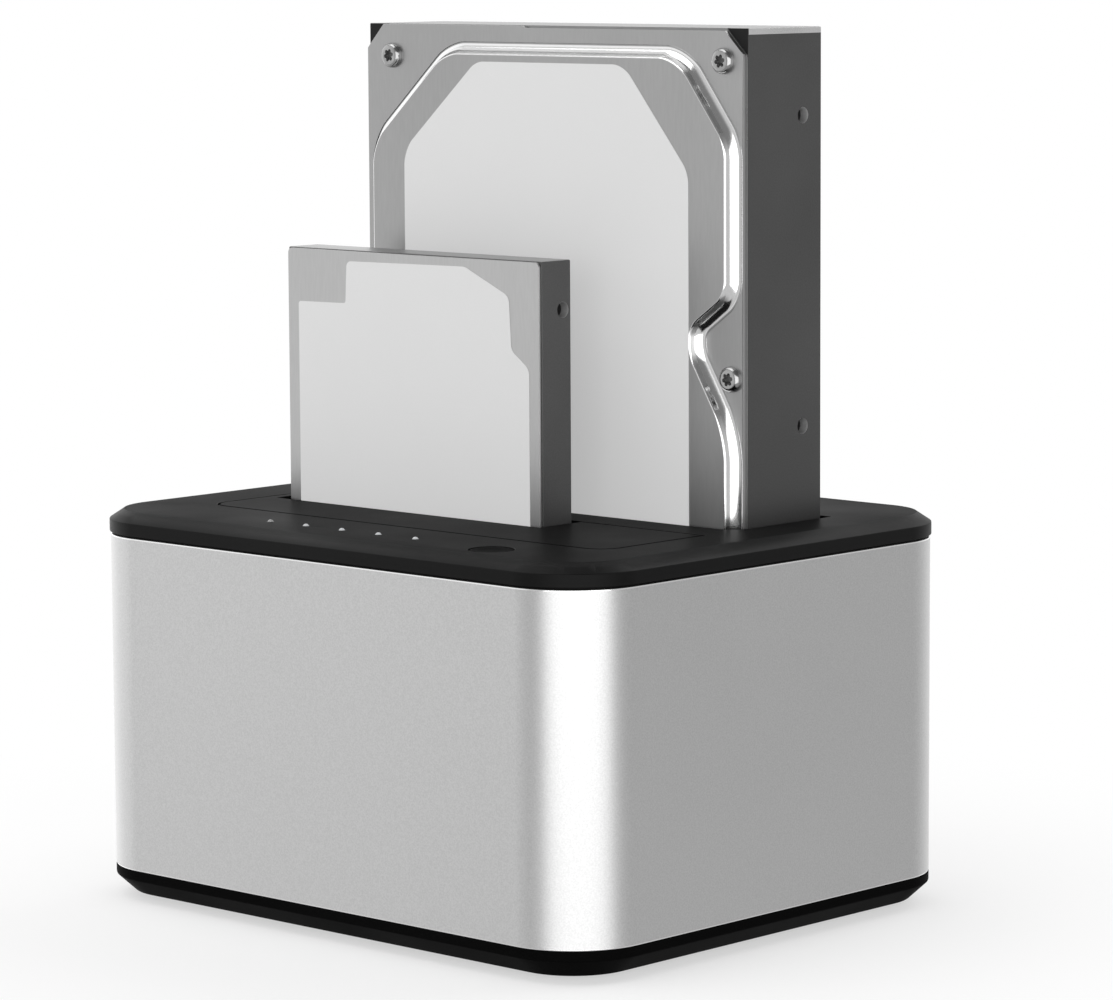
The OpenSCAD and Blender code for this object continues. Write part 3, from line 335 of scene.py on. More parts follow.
# Base and feet
# The base is a shallow black moulding that tapers in below the sleeve. Four deep sockets take
# the case screws, and four round rubber feet are glued into seats under it.
def joined_copy(node, name):
    """A copy of a CAD node's mesh, its loose triangles merged and its flat faces made whole."""
    piece = bpy.data.objects.new(name, frame["nodes"][node].data.copy())
    bpy.context.scene.collection.objects.link(piece)
    only(piece)
    bpy.ops.mesh.customdata_custom_splitnormals_clear()
    with editing(piece):
        bpy.ops.mesh.select_all(action="SELECT")
        bpy.ops.mesh.remove_doubles(threshold=0.002 * mm)
        bpy.ops.mesh.dissolve_limited(angle_limit=radians(0.6))
    return piece


def complete(piece, material, edge, body, slot, *nodes):
    """Gives a modelled piece one finish and rounded edges, and places it."""
    dress(piece, material)
    soften(piece, edge)
    place(piece, body, slot, *nodes)


def moulded(node, name, material, edge, body, slot):
    """A CAD node's copy with a finish and rounded edges, which stands for the node."""
    complete(joined_copy(node, name), material, edge, body, slot, node)


base_plastic = finish(
    "base_plastic", grey(6), grey(11), 0.6, speck=0.0003, speck_share=0.5, bump=0.3, specular=0.012
)
moulded("base", "base_moulding", base_plastic, 0.2 * mm, "dock", "base_plastic")
foot_rubber = finish("foot_rubber", grey(28), grey(38), 0.85, specular=0.2, bump=0.2)
moulded("rubber_feet", "rubber_foot_pads", foot_rubber, 0.15 * mm, "dock", "foot_rubber")


# Fixings
# Zinc-plated steel: the screws of the case, the wells and the boards, the turned hinge pins
# and the wound springs of the two flaps.
plated_steel = finish(
    "plated_steel", grey(178), grey(208), 0.26, metallic=1.0, cloud=0.004, speck=0.0002
)
for name in (
    "case_screws", "well_screws", "board_screws", "panel_screws", "front_hinge_pins",
    "rear_hinge_pins", "front_flap_springs", "rear_flap_springs", "jack_pin", "crystal",
):
    dress(frame["nodes"][name], plated_steel)


# Wells
# Two open black mouldings, screwed up under the cover, which lead the drives down to their
# connectors.
well_plastic = finish("well_plastic", grey(24), grey(32), 0.5, speck=0.0004, bump=0.2, specular=0.3)
for name in ("front_well", "rear_well"):
    dress(frame["nodes"][name], well_plastic)


# Boards in the case
# The main board lies in the base and carries the drives' connectors; the front board hangs
# under the cover with the lights and the button's switch. A ribbon joins them.
def board_print_group():
    """A printed board's pattern, drawn in XY: one mask of its copper, one of its tinned holes."""
    group, start, end = shader_group("board_print", (), ("Copper", "Holes"))
    patches = node_in(
        group, "ShaderNodeTexVoronoi", {"Vector": start.outputs["Vector"], "Scale": 115.0},
        distance="CHEBYCHEV",
    )
    kind = node_in(group, "ShaderNodeSeparateColor", {0: patches.outputs["Color"]})
    copper = 0.75
    for turn, share in ((0, 0.72), (90, 0.4)):
        turned = node_in(
            group, "ShaderNodeMapping",
            {"Vector": start.outputs["Vector"], "Rotation": (0, 0, radians(turn))},
        )
        tracks = node_in(
            group, "ShaderNodeTexBrick",
            {
                "Vector": turned.outputs["Vector"], "Color1": (0, 0, 0, 1), "Color2": (0, 0, 0, 1),
                "Mortar": (1, 1, 1, 1), "Scale": 1000.0, "Mortar Size": 0.09, "Brick Width": 11.0,
                "Row Height": 0.6,
            },
        )
        here = worked_out(group, "LESS_THAN", kind.outputs[0], share)
        copper = node_in(
            group, "ShaderNodeMix", {0: here, 2: copper, 3: tracks.outputs["Color"]}
        ).outputs[0]
    dots = node_in(
        group, "ShaderNodeTexVoronoi", {"Vector": start.outputs["Vector"], "Scale": 420.0}
    )
    hole_reach, hole_share = 0.12, 0.35
    near = worked_out(group, "LESS_THAN", dots.outputs["Distance"], hole_reach)
    chance = node_in(group, "ShaderNodeSeparateColor", {0: dots.outputs["Color"]})
    chosen = worked_out(group, "LESS_THAN", chance.outputs[0], hole_share)
    group.links.new(copper, end.inputs["Copper"])
    group.links.new(worked_out(group, "MULTIPLY", near, chosen), end.inputs["Holes"])
    return group


board_print = board_print_group()


def printed_board(name, bare, over_copper, tip_up):
    """Lacquer, lighter over the copper, and tinned holes; tip_up lays the pattern on the face."""
    material = finish(name, bare, [channel * 1.25 for channel in bare[:3]] + [1], 0.3, cloud=0.01)
    tree = material.node_tree
    shader = tree.nodes["Principled BSDF"]
    lacquer = shader.inputs["Base Color"].links[0].from_socket
    spot = node_in(tree, "ShaderNodeTexCoord")
    laid = node_in(
        tree, "ShaderNodeMapping",
        {"Vector": spot.outputs["Object"], "Rotation": (radians(tip_up), 0, 0)},
    )
    drawn = node_in(
        tree, "ShaderNodeGroup", {"Vector": laid.outputs["Vector"]}, node_tree=board_print
    )
    tracked = mixed_colour(tree, drawn.outputs["Copper"], lacquer, over_copper)
    tin = (0.7, 0.66, 0.58, 1)
    tinned = mixed_colour(tree, drawn.outputs["Holes"], tracked, tin)
    tree.links.new(tinned, shader.inputs["Base Color"])
    tree.links.new(drawn.outputs["Holes"], shader.inputs["Metallic"])
    return material


board_green = printed_board("board_green", (0.006, 0.06, 0.03, 1), (0.014, 0.12, 0.06, 1), 0)
chip_black = finish("chip_black", grey(26), grey(34), 0.5, bump=0.2)
socket_ivory = finish("socket_ivory", (0.7, 0.65, 0.5, 1), (0.75, 0.7, 0.56, 1), 0.4)
for name, material in (
    ("main_board", board_green), ("panel_board", board_green), ("cable_sockets", socket_ivory),
    ("tact_switch", chip_black), ("tact_plunger", chip_black),
):
    dress(frame["nodes"][name], material)


# Ribbon cable
# Flat white cable, pressed from wires side by side, between the main board and the front board.
# Its ends are clamped in two ivory sockets.
def striped(material, axis, pitch, share, colour):
    """Adds stripes of a second colour, one every pitch along an axis, to a material."""
    tree = material.node_tree
    shader = tree.nodes["Principled BSDF"]
    ground = shader.inputs["Base Color"].links[0].from_socket
    spot = node_in(tree, "ShaderNodeTexCoord")
    parts = node_in(tree, "ShaderNodeSeparateXYZ", {0: spot.outputs["Object"]})
    step = worked_out(tree, "FRACT", worked_out(tree, "DIVIDE", parts.outputs[axis], pitch))
    here = worked_out(tree, "LESS_THAN", step, share)
    tree.links.new(mixed_colour(tree, here, ground, colour), shader.inputs["Base Color"])
    return material


ribbon_white = striped(
    finish("ribbon_white", grey(205), grey(220), 0.4), "X", 1 * mm, 0.14, grey(150)
)
dress(frame["nodes"]["flat_cable"], ribbon_white)


# Chips
# The bridge chip and the two regulators: black moulded bodies on two rows of tinned legs, with
# a dimple at the bridge chip's first leg. They are soldered to the main board.
leg_tin = striped(
    finish("leg_tin", grey(180), grey(205), 0.3, metallic=0.8, cloud=0.004),
    "Y", 0.65 * mm, 0.45, (0.012, 0.06, 0.035, 1),
)


def paint(piece, index, test):
    """Gives the faces that pass a test the piece's finish of this number."""
    for face in piece.data.polygons:
        if test(face):
            face.material_index = index


leg_high = 0.22 * mm
leg_out = 0.8 * mm
chip_low, chip_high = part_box("bridge_chip")
for name in ("bridge_chip", "regulator_chips"):
    chip = joined_copy(name, name + "_moulded")
    dress(chip, chip_black)
    if name == "bridge_chip":
        dimple = Vector((chip_low.x + leg_out + 1.4 * mm, chip_low.y + 1.4 * mm, chip_high.z))
        hole = rod(
            "dimple", dimple - Vector((0, 0, 0.12 * mm)), dimple + Vector((0, 0, mm)), 0.5 * mm, 24
        )
        dress(hole, chip_black)
        cut(chip, hole)
    chip.data.materials.append(leg_tin)
    soften(chip, 0.06 * mm)
    legs = len(chip.data.materials) - 1
    paint(chip, legs, lambda face: face.center.z < chip_low.z + leg_high)
    place(chip, "dock", "chip_black", name)


# Small parts
# Resistors and capacitors of 1.6 by 0.8 mm with tinned ends, soldered in two rows beside the
# bridge chip. One is modelled and the others are copies of it.
def joined(name, pieces):
    """Several pieces made one."""
    bpy.ops.object.select_all(action="DESELECT")
    for piece in pieces:
        piece.select_set(True)
    bpy.context.view_layer.objects.active = pieces[0]
    bpy.ops.object.join()
    pieces[0].name = name
    return pieces[0]


def copies(name, first, places):
    """Copies of a modelled piece, each with its own mesh, made one; the model is dropped."""
    made = []
    for spot in places:
        copied = first.copy()
        copied.data = first.data.copy()
        bpy.context.scene.collection.objects.link(copied)
        copied.location = spot
        settle(copied)
        made.append(copied)
    bpy.data.objects.remove(first)
    return joined(name, made)


part_tan = finish("part_tan", (0.32, 0.2, 0.1, 1), (0.4, 0.26, 0.14, 1), 0.5, cloud=0.002)
part_tin = finish("part_tin", grey(170), grey(198), 0.35, metallic=0.8, cloud=0.002)
part_half = Vector((0.8 * mm, 0.4 * mm, 0.3 * mm))
tin_from = 0.5 * mm
first_part = block("first_part", -part_half, part_half)
with editing(first_part):
    for x in (-tin_from, tin_from):
        bpy.ops.mesh.select_all(action="SELECT")
        bpy.ops.mesh.bisect(plane_co=(x, 0, 0), plane_no=(1, 0, 0))
dress(first_part, part_tan, part_tin)
soften(first_part, 0.06 * mm)
paint(first_part, 1, lambda face: abs(face.center.x) > tin_from)
part_row_gap = 2.2 * mm
part_pitch = 2.5 * mm
parts_in_row = 6
part_places = [
    ((chip_low.x + chip_high.x) / 2 + (i - (parts_in_row - 1) / 2) * part_pitch, y,
     chip_low.z + part_half.z)
    for y in (chip_low.y - part_row_gap, chip_high.y + part_row_gap) for i in range(parts_in_row)
]
place(copies("small_parts", first_part, part_places), "dock", "chip_black")


# Power parts
# Shielded coils, each with its copper winding seen in the top, and upright capacitors in blue
# sleeves with bare, pressed aluminium tops. They stand at the front of the main board.
coil_grey = finish("coil_grey", grey(60), grey(72), 0.6, bump=0.3)
winding_copper = finish(
    "winding_copper", (0.5, 0.2, 0.07, 1), (0.62, 0.27, 0.1, 1), 0.35, metallic=0.9
)
coils = joined_copy("power_coils", "power_coils_shielded")
dress(coils, coil_grey, winding_copper)
soften(coils, 0.2 * mm)
coil_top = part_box("power_coils")[1].z
winding_low, winding_high = coil_top - 0.45 * mm, coil_top - 0.3 * mm
paint(
    coils, 1, lambda face: face.normal.z > 0.9 and winding_low < face.center.z < winding_high
)
place(coils, "dock", "coil_grey", "power_coils")

capacitor_sleeve = finish("capacitor_sleeve", (0.01, 0.014, 0.05, 1), (0.02, 0.025, 0.07, 1), 0.3)
capacitor_top = finish("capacitor_top", grey(188), grey(206), 0.35, metallic=1.0, cloud=0.003)
sleeve_rim = 0.6 * mm
top_sunk = 0.2 * mm
capacitors = joined_copy("capacitors", "capacitors_sleeved")
dress(capacitors, capacitor_sleeve, capacitor_top)
with editing(capacitors):
    pick(capacitors, "FACE", lambda face: face.normal.z > 0.9)
    bpy.ops.mesh.inset(thickness=sleeve_rim)
    bpy.ops.mesh.inset(thickness=0.15 * mm, depth=-top_sunk)
    for polygon in bmesh.from_edit_mesh(capacitors.data).faces:
        if polygon.select:
            polygon.material_index = 1
soften(capacitors, 0.12 * mm)
place(capacitors, "dock", "capacitor_sleeve", "capacitors")


# Drive connectors
# Black mouldings with gilded contacts at 1.27 mm, seven for the data and fifteen for the power.
# The sockets stand on the main board, each with its contacts in a slot; the plugs lie in the
# drives' ends, each with them on a tongue that enters the slot.
contact_gold = finish("contact_gold", (0.75, 0.5, 0.17, 1), (0.85, 0.6, 0.22, 1), 0.2, metallic=1.0)
contact_pitch = 1.27 * mm
contact_places = [i * contact_pitch for i in range(7)]
contact_places += [12 * mm + i * contact_pitch for i in range(15)]
contact_half = 0.4 * mm


def contact_row(name, middle_x, face_y, out, low_z, high_z):
    """A row of contacts on a face of constant y, standing a little out of it."""
    first = block("contact", (-contact_half, -0.05 * mm, low_z), (contact_half, 0.05 * mm, high_z))
    dress(first, contact_gold)
    soften(first, 0.03 * mm)
    start_x = middle_x - contact_places[-1] / 2
    return copies(name, first, [(start_x + x, face_y + out * 0.02 * mm, 0) for x in contact_places])


slot_half = 0.8 * mm
tongue_half = 0.55 * mm
tongue_from_back = 3.5 * mm
for name, body in (("front", "small_drive"), ("rear", "large_drive")):
    plug_name = body.replace("drive", "plug")
    for node, rider in ((name + "_receptacle", "dock"), (plug_name, body)):
        moulded(node, node + "_moulding", chip_black, 0.12 * mm, rider, "socket_plastic")
    low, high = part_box(name + "_receptacle")
    slot_y = (low.y + high.y) / 2
    row = contact_row(
        name + "_socket_contacts", (low.x + high.x) / 2, slot_y + slot_half, -1,
        high.z - 4.6 * mm, high.z - 0.5 * mm,
    )
    place(row, "dock", "can_metal")
    low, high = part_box(plug_name)
    row = contact_row(
        body + "_contacts", (low.x + high.x) / 2, high.y - tongue_from_back + tongue_half, 1,
        low.z + 0.6 * mm, low.z + 5 * mm,
    )
    place(row, body, "can_metal")


# Data socket
# A square shell folded from plated steel, with two blue tongues that carry the contacts. It is
# soldered to the main board with its mouth in an opening of the sleeve's back.
socket_steel = finish(
    "socket_steel", grey(182), grey(204), 0.24, metallic=1.0, cloud=0.006, speck=0.0002
)
tongue_blue = finish("tongue_blue", (0.008, 0.05, 0.42, 1), (0.012, 0.07, 0.5, 1), 0.35)

shell_sheet = 0.6 * mm
mouth_deep = 9 * mm
usb_feet_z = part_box("usb_socket")[0].z
usb_shell = block("usb_shell", usb_low, usb_high)
with editing(usb_shell):
    pick(usb_shell, "FACE", lambda face: face.normal.y > 0.9)
    bpy.ops.mesh.inset(thickness=shell_sheet)
    bpy.ops.mesh.extrude_region_move(TRANSFORM_OT_translate={"value": (0, -mouth_deep, 0)})
usb_feet = block(
    "usb_feet", (usb_low.x, usb_low.y, usb_feet_z),
    (usb_high.x, usb_high.y - wall - 1.5 * mm, usb_low.z + 0.1 * mm),
)
usb_shell = joined("usb_shell", [usb_shell, usb_feet])
complete(usb_shell, socket_steel, 0.15 * mm, "dock", "can_metal", "usb_socket")
moulded("usb_tongue", "usb_tongues", tongue_blue, 0.15 * mm, "dock", "tongue_blue")

tongue_low, tongue_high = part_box("usb_tongue")
tongue_middle = (tongue_low.x + tongue_high.x) / 2
usb_contact_half = 0.45 * mm
first_contact = block(
    "first_contact", (-usb_contact_half, -6 * mm, -0.06 * mm),
    (usb_contact_half, -0.5 * mm, 0.1 * mm),
)
dress(first_contact, contact_gold)
soften(first_contact, 0.04 * mm)
contacts = copies("usb_contacts", first_contact, [
    (tongue_middle + (i - (count - 1) / 2) * pitch, tongue_high.y, z)
    for z, pitch, count in ((tongue_low.z, 2 * mm, 2), (tongue_high.z - 1.4 * mm, 1.25 * mm, 5))
    for i in range(count)
])
place(contacts, "dock", "can_metal")


# Power jack
# A black moulding with a round mouth and a plated pin in its middle, soldered to the main board
# with its mouth in an opening of the sleeve's back.
switch_black = finish("switch_black", grey(20), grey(27), 0.35, speck=0.0003, bump=0.1)
moulded("power_jack", "jack_moulding", switch_black, 0.2 * mm, "dock", "socket_plastic")


# Power switch
# A black bezel snapped into the sleeve's pocket, with a rocker that tips on two stubs. Its ends
# carry the usual bar and ring, moulded in white.
mark_white = finish("mark_white", grey(215), grey(228), 0.5)
moulded("switch_housing", "switch_bezel", switch_black, 0.2 * mm, "dock", "switch_plastic")
moulded(
    "power_rocker", "rocker_paddle", switch_black, 0.3 * mm, "power_rocker", "switch_plastic"
)
rocker_joint = next(j for j in frame["joints"] if j["child"] == "power_rocker")
rocker_pivot = Vector(rocker_joint["pos_m"])
rocker_tilt = radians(9)
mark_sink = 0.12 * mm
face_dip = 1.1 * mm
face_half = 7.6 * mm
face_out = 4.4 * mm


def on_rocker(piece, x):
    """Lays a mark, made at the pivot and facing back, on the rocker's face at a place along it."""
    rise = face_dip / face_half * (1 if x > 0 else -1)
    piece.data.transform(Matrix.Rotation(atan(rise), 4, "Z"))
    piece.data.transform(Matrix.Translation((x, face_out - face_dip + x * rise, 0)))
    piece.data.transform(Matrix.Rotation(rocker_tilt, 4, "Z"))
    piece.data.transform(Matrix.Translation(rocker_pivot))


mark_out = 4.6 * mm
bar_mark = block(
    "bar", (-0.35 * mm, -mark_sink, -2 * mm), (0.35 * mm, 0.06 * mm, 2 * mm)
)
on_rocker(bar_mark, mark_out)
bpy.ops.object.select_all(action="DESELECT")
bpy.ops.mesh.primitive_torus_add(
    major_radius=1.7 * mm, minor_radius=0.33 * mm, major_segments=40, minor_segments=10,
    rotation=(radians(90), 0, 0),
)
ring_mark = bpy.context.active_object
ring_mark.scale = (1, 1, 0.25)
settle(ring_mark)
on_rocker(ring_mark, -mark_out)
marks = joined("rocker_marks", [bar_mark, ring_mark])
complete(marks, mark_white, 0.03 * mm, "power_rocker", "switch_plastic")


# Cover
# The cover and the two flaps are black mouldings. Their edges are smooth and their top faces
# have a sparked texture, and are painted lighter as a painted sheen. The knuckles under the
# flaps turn on the hinge pins, just clear of the cover's plate.
black_plastic = finish(
    "black_plastic", grey(7), grey(11), 0.5, speck=0.0003, speck_share=0.5, bump=0.15,
    specular=0.12,
)
# The top's bump is its real sparked texture; its lighter colour is a painted sheen.
sparked_top_and_sheen = finish(
    "sparked_top_and_sheen", grey(24), grey(31), 0.42, speck=0.0003, speck_share=0.6, bump=0.12,
    specular=0.006,
)
cover_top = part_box("top_cover")[1].z


def in_cover_top(face):
    """True of a face in the cover's top plane, which has the sparked texture and a painted sheen.
    """
    return face.normal.z > 0.95 and face.center.z > cover_top - 0.05 * mm


cover = joined_copy("top_cover", "cover_moulding")
dress(cover, black_plastic, sparked_top_and_sheen)
soften(cover, 0.15 * mm)
# The top faces get the lighter finish: painted sheen.
paint(cover, 1, in_cover_top)
place(cover, "dock", "cover_plastic", "top_cover")

knuckle_radius = 1.3 * mm
knuckle_play = 0.97
for side in ("front", "rear"):
    node = side + "_flap"
    flap = joined_copy(node, node + "_moulding")
    dress(flap, base_plastic, sparked_top_and_sheen)
    pins_low, pins_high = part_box(side + "_hinge_pins")
    hinge = (pins_low + pins_high) / 2
    with editing(flap):
        pick(
            flap, "VERT",
            lambda vert: abs((vert.co - hinge).yz.length - knuckle_radius) < 0.05 * mm,
        )
        bpy.ops.transform.resize(
            value=(1, knuckle_play, knuckle_play), center_override=hinge
        )
    round_edges(
        flap, 0.4 * mm, 2,
        lambda edge: edge.is_convex and edge.calc_face_angle(0) > 0.6
        and all(vert.co.z > cover_top - 0.01 * mm for vert in edge.verts),
    )
    soften(flap, 0.1 * mm)
    paint(flap, 1, in_cover_top)
    place(flap, node, "cover_plastic", node)


# Lights
# Five clear stems on one bar bring the light of the lamps on the front board up into the cover,
# where each shows as a small white dot. The first lamp is off, so its dot is fainter.
lamp_white = finish("lamp_white", grey(225), grey(240), 0.3)
dress(frame["nodes"]["status_lights"], lamp_white)
stem_clear = finish("stem_clear", grey(158), grey(178), 0.2)
stem_radius = 1.3 * mm
stem_count = 5
stem_glow = 0.2
glow_deep = 0.4 * mm
stems_low, stems_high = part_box("light_pipes")
tree = stem_clear.node_tree
spot = node_in(tree, "ShaderNodeTexCoord")
height = node_in(tree, "ShaderNodeSeparateXYZ", {0: spot.outputs["Object"]})
at_tip = worked_out(tree, "GREATER_THAN", height.outputs["Z"], cover_top - glow_deep)
lit = worked_out(tree, "GREATER_THAN", height.outputs["X"], stems_low.x + 3 * stem_radius)
lit_tip = worked_out(tree, "MULTIPLY", at_tip, lit)
glow = mixed_colour(tree, lit_tip, (0, 0, 0, 1), (0.9, 0.95, 1, 1))
stem_shader = tree.nodes["Principled BSDF"]
tree.links.new(glow, stem_shader.inputs["Emission Color"])
stem_shader.inputs["Emission Strength"].default_value = stem_glow
moulded("light_pipes", "light_stems", stem_clear, 0.08 * mm, "dock", "light_clear")

tip_radius = 0.52 * mm
tip_high = 0.36 * mm
tip_sunk = 0.1 * mm
bpy.ops.object.select_all(action="DESELECT")
bpy.ops.mesh.primitive_uv_sphere_add(segments=28, ring_count=14, radius=tip_radius)
first_tip = bpy.context.active_object
first_tip.scale = (1, 1, tip_high / tip_radius)
settle(first_tip)
with editing(first_tip):
    bpy.ops.mesh.select_all(action="SELECT")
    bpy.ops.mesh.bisect(
        plane_co=(0, 0, -tip_sunk), plane_no=(0, 0, 1), clear_inner=True, use_fill=True
    )
bpy.ops.object.shade_smooth_by_angle(angle=radians(40))
dress(first_tip, stem_clear)
stem_pitch = (stems_high.x - stems_low.x - 2 * stem_radius) / (stem_count - 1)
tips = copies("light_tips", first_tip, [
    (stems_low.x + stem_radius + i * stem_pitch, (stems_low.y + stems_high.y) / 2, cover_top)
    for i in range(stem_count)
])
place(tips, "dock", "light_clear")


# Button
# A round black cap, slightly dished for the finger, on a flange that keeps it in the cover, with
# a stem down to the switch.
button_plastic = finish("button_plastic", grey(13), grey(18), 0.7, specular=0.02)
button_low, button_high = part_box("round_button")
middle = (button_low + button_high) / 2
cap_radius = 4.1 * mm
flange_radius = (button_high.x - button_low.x) / 2
flange_thick = 1.15 * mm
push_radius = 1.8 * mm
dish = 0.25 * mm
cap_rim = 0.5 * mm
dish_step = 1.2 * mm
flange_from_top = 2.45 * mm
flange_top = cover_top - flange_from_top

button = rod(
    "button_cap", (middle.x, middle.y, flange_top - flange_thick),
    (middle.x, middle.y, flange_top), flange_radius, 96,
)
with editing(button):
    pick(button, "FACE", lambda face: face.normal.z > 0.9)
    bpy.ops.mesh.inset(thickness=flange_radius - cap_radius)
    bpy.ops.mesh.extrude_region_move(
        TRANSFORM_OT_translate={"value": (0, 0, button_high.z - flange_top)}
    )
    bpy.ops.mesh.inset(thickness=cap_rim)
    for share in (0.7, 0.3):
        bpy.ops.mesh.inset(thickness=dish_step, depth=-dish * share)
    pick(button, "FACE", lambda face: face.normal.z < -0.9)
    bpy.ops.mesh.inset(thickness=flange_radius - push_radius)
    bpy.ops.mesh.extrude_region_move(
        TRANSFORM_OT_translate={"value": (0, 0, button_low.z - flange_top + flange_thick)}
    )
complete(button, button_plastic, 0.2 * mm, "button", "button_plastic", "round_button")


# Large drive, casting
# The body of a desktop-size drive is an aluminium casting, painted dark and machined where the
# cover and the board lie. Each side has three threaded holes, and ribs stiffen its back.
def outline_face(name, corners, segments=8):
    """A flat face in XZ that looks to the front, through corners of (x, z, radius)."""
    bpy.ops.object.select_all(action="DESELECT")
    bpy.ops.mesh.primitive_circle_add(vertices=len(corners), radius=1, fill_type="NGON")
    piece = bpy.context.active_object
    piece.name = name
    with editing(piece):
        mesh = bmesh.from_edit_mesh(piece.data)
        for vert, (x, z, radius) in zip(mesh.verts, corners):
            vert.co = (x, 0, z)
        bmesh.update_edit_mesh(piece.data)
        for i, (x, z, radius) in enumerate(corners):
            if not radius:
                continue
            here = Vector((x, 0, z))
            beside = (corners[i - 1], corners[i + 1 - len(corners)])
            before, after = (Vector((c[0], 0, c[1])) for c in beside)
            half = (before - here).angle(after - here) / 2
            pick(piece, "VERT", lambda vert: (vert.co - here).length < 0.001 * mm)
            bpy.ops.mesh.bevel(
                offset=radius / tan(half), segments=segments, affect="VERTICES", clamp_overlap=False
            )
        mesh = bmesh.from_edit_mesh(piece.data)
        for face in mesh.faces:
            face.normal_update()
            if face.normal.y > 0:
                face.normal_flip()
        bmesh.update_edit_mesh(piece.data)
    return piece


def plate(name, corners, front, thick, segments=8):
    """A plate of an outline, between its front and a distance behind it."""
    piece = outline_face(name, corners, segments)
    with editing(piece):
        bpy.ops.mesh.select_all(action="SELECT")
        bpy.ops.transform.translate(value=(0, front, 0))
        bpy.ops.mesh.extrude_region_move(TRANSFORM_OT_translate={"value": (0, thick, 0)})
        bpy.ops.mesh.select_all(action="SELECT")
        bpy.ops.mesh.normals_make_consistent(inside=False)
    return piece


def at(corner, points):
    """Points of (x, z, radius) in mm from a drive's lower left corner, in the frame's metres."""
    return [(corner.x + x * mm, corner.z + z * mm, r * mm) for x, z, r in points]


casting_paint = finish(
    "casting_paint", grey(66), grey(78), 0.36, metallic=0.4, speck=0.0003, speck_share=0.5,
    bump=0.15,
)
casting_black = finish("casting_black", grey(14), grey(20), 0.55, specular=0.2)
cut_metal = finish("cut_metal", grey(206), grey(236), 0.3, metallic=1.0, speck=0.0003)
thread_metal = finish("thread_metal", grey(150), grey(176), 0.45, metallic=0.25, speck=0.0003)
machined_metal = finish(
    "machined_metal", grey(128), grey(146), 0.3, metallic=1.0, speck=0.0003, stretch=(0.1, 1, 1)
)
large_low, large_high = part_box("large_casting")
large_w = (large_high.x - large_low.x) / mm
large_l = (large_high.z - large_low.z) / mm
board_low, board_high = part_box("large_board")
large_back = board_low.y
board_play = 0.05 * mm
side_hole_from_back = 6.35 * mm
side_holes = (28.5, 70.1, 130.1)
hole_radius = 1.5 * mm
hole_shade_from = 1.9
plug_play = 0.1 * mm


def side_hole(piece, mouth, outward, deep):
    """A threaded hole in a casting's side, thread metal near its mouth and dark paint further in as
    painted shade.
    """
    out = Vector((outward * mm, 0, 0))
    bore = rod("bore", mouth + out, mouth - out * deep, hole_radius, 32)
    painted_shade_from = mouth - out * hole_shade_from
    with editing(bore):
        bpy.ops.mesh.select_all(action="SELECT")
        bpy.ops.mesh.bisect(plane_co=painted_shade_from, plane_no=(1, 0, 0))
    # The deeper part of the bore is painted dark: painted shade.
    dress(bore, thread_metal, casting_paint)
    paint(bore, 1, lambda face: (face.center - painted_shade_from).x * outward < 0)
    cut(piece, bore)


def plug_room(piece, low, high, back):
    """Cuts a casting free round the box of its plug, open to the end and to the back."""
    cut(piece, block(
        "plug_room", (low.x - plug_play, low.y - plug_play, low.z - mm),
        (high.x + plug_play, back + mm, high.z + plug_play),
    ))


casting = block("large_casting_body", large_low, (large_high.x, large_back, large_high.z))
dress(casting, casting_paint)
plug_room(casting, *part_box("large_plug"), large_back)
for z in side_holes:
    for x, outward in ((large_low.x, -1), (large_high.x, 1)):
        mouth = Vector((x, board_high.y + board_play - side_hole_from_back, large_low.z + z * mm))
        side_hole(casting, mouth, outward, 3.5)
motor_from_top = 57
motor = Vector((
    large_low.x + large_w / 2 * mm, large_back, large_low.z + (large_l - motor_from_top) * mm
))
pocket_deep = 2.4 * mm
top_pockets = (
    ((6, 104, 2), (27, 104, 2), (36, 116, 5), (36, 141, 2), (6, 141, 2)),
    ((40, 118, 3), (61.6, 118, 3), (61.6, 141, 2), (40, 141, 2)),
    ((65.6, 116, 5), (74.6, 104, 2), (95.6, 104, 2), (95.6, 141, 2), (65.6, 141, 2)),
)
for points in top_pockets:
    cut(casting, plate(
        "pocket", at(large_low, points), large_back - pocket_deep, pocket_deep + mm
    ))
corner_room = 5.2
corner_sunk = 0.15 * mm
for x, inward in ((0, 1), (large_w, -1)):
    for z, up in ((0, 1), (large_l, -1)):
        corner = plate("corner", at(large_low, [
            (x - inward, z - up, 0), (x + inward * (corner_room + 1), z - up, 0),
            (x - inward, z + up * (corner_room + 1), 0),
        ]), large_low.y - mm, mm + corner_sunk)
        dress(corner, casting_black)
        cut(casting, corner)
milled_deep = 1.2 * mm
with editing(casting):
    bpy.ops.mesh.select_all(action="SELECT")
    bpy.ops.mesh.bisect(plane_co=(0, 0, large_high.z - milled_deep), plane_no=(0, 0, 1))
soften(casting, 0.2 * mm)
machined = len(casting.data.materials)
casting.data.materials.append(machined_metal)
casting.data.materials.append(cut_metal)
for face in casting.data.polygons:
    if face.normal.y < -0.3:
        if face.center.y < large_low.y + 0.1 * mm:
            face.material_index = machined
    elif face.normal.z > 0.9 and face.center.z > large_high.z - 0.4 * mm:
        face.material_index = machined
    elif face.center.z > large_high.z - milled_deep:
        face.material_index = machined + 1
place(casting, "large_drive", "casting_grey", "large_casting")


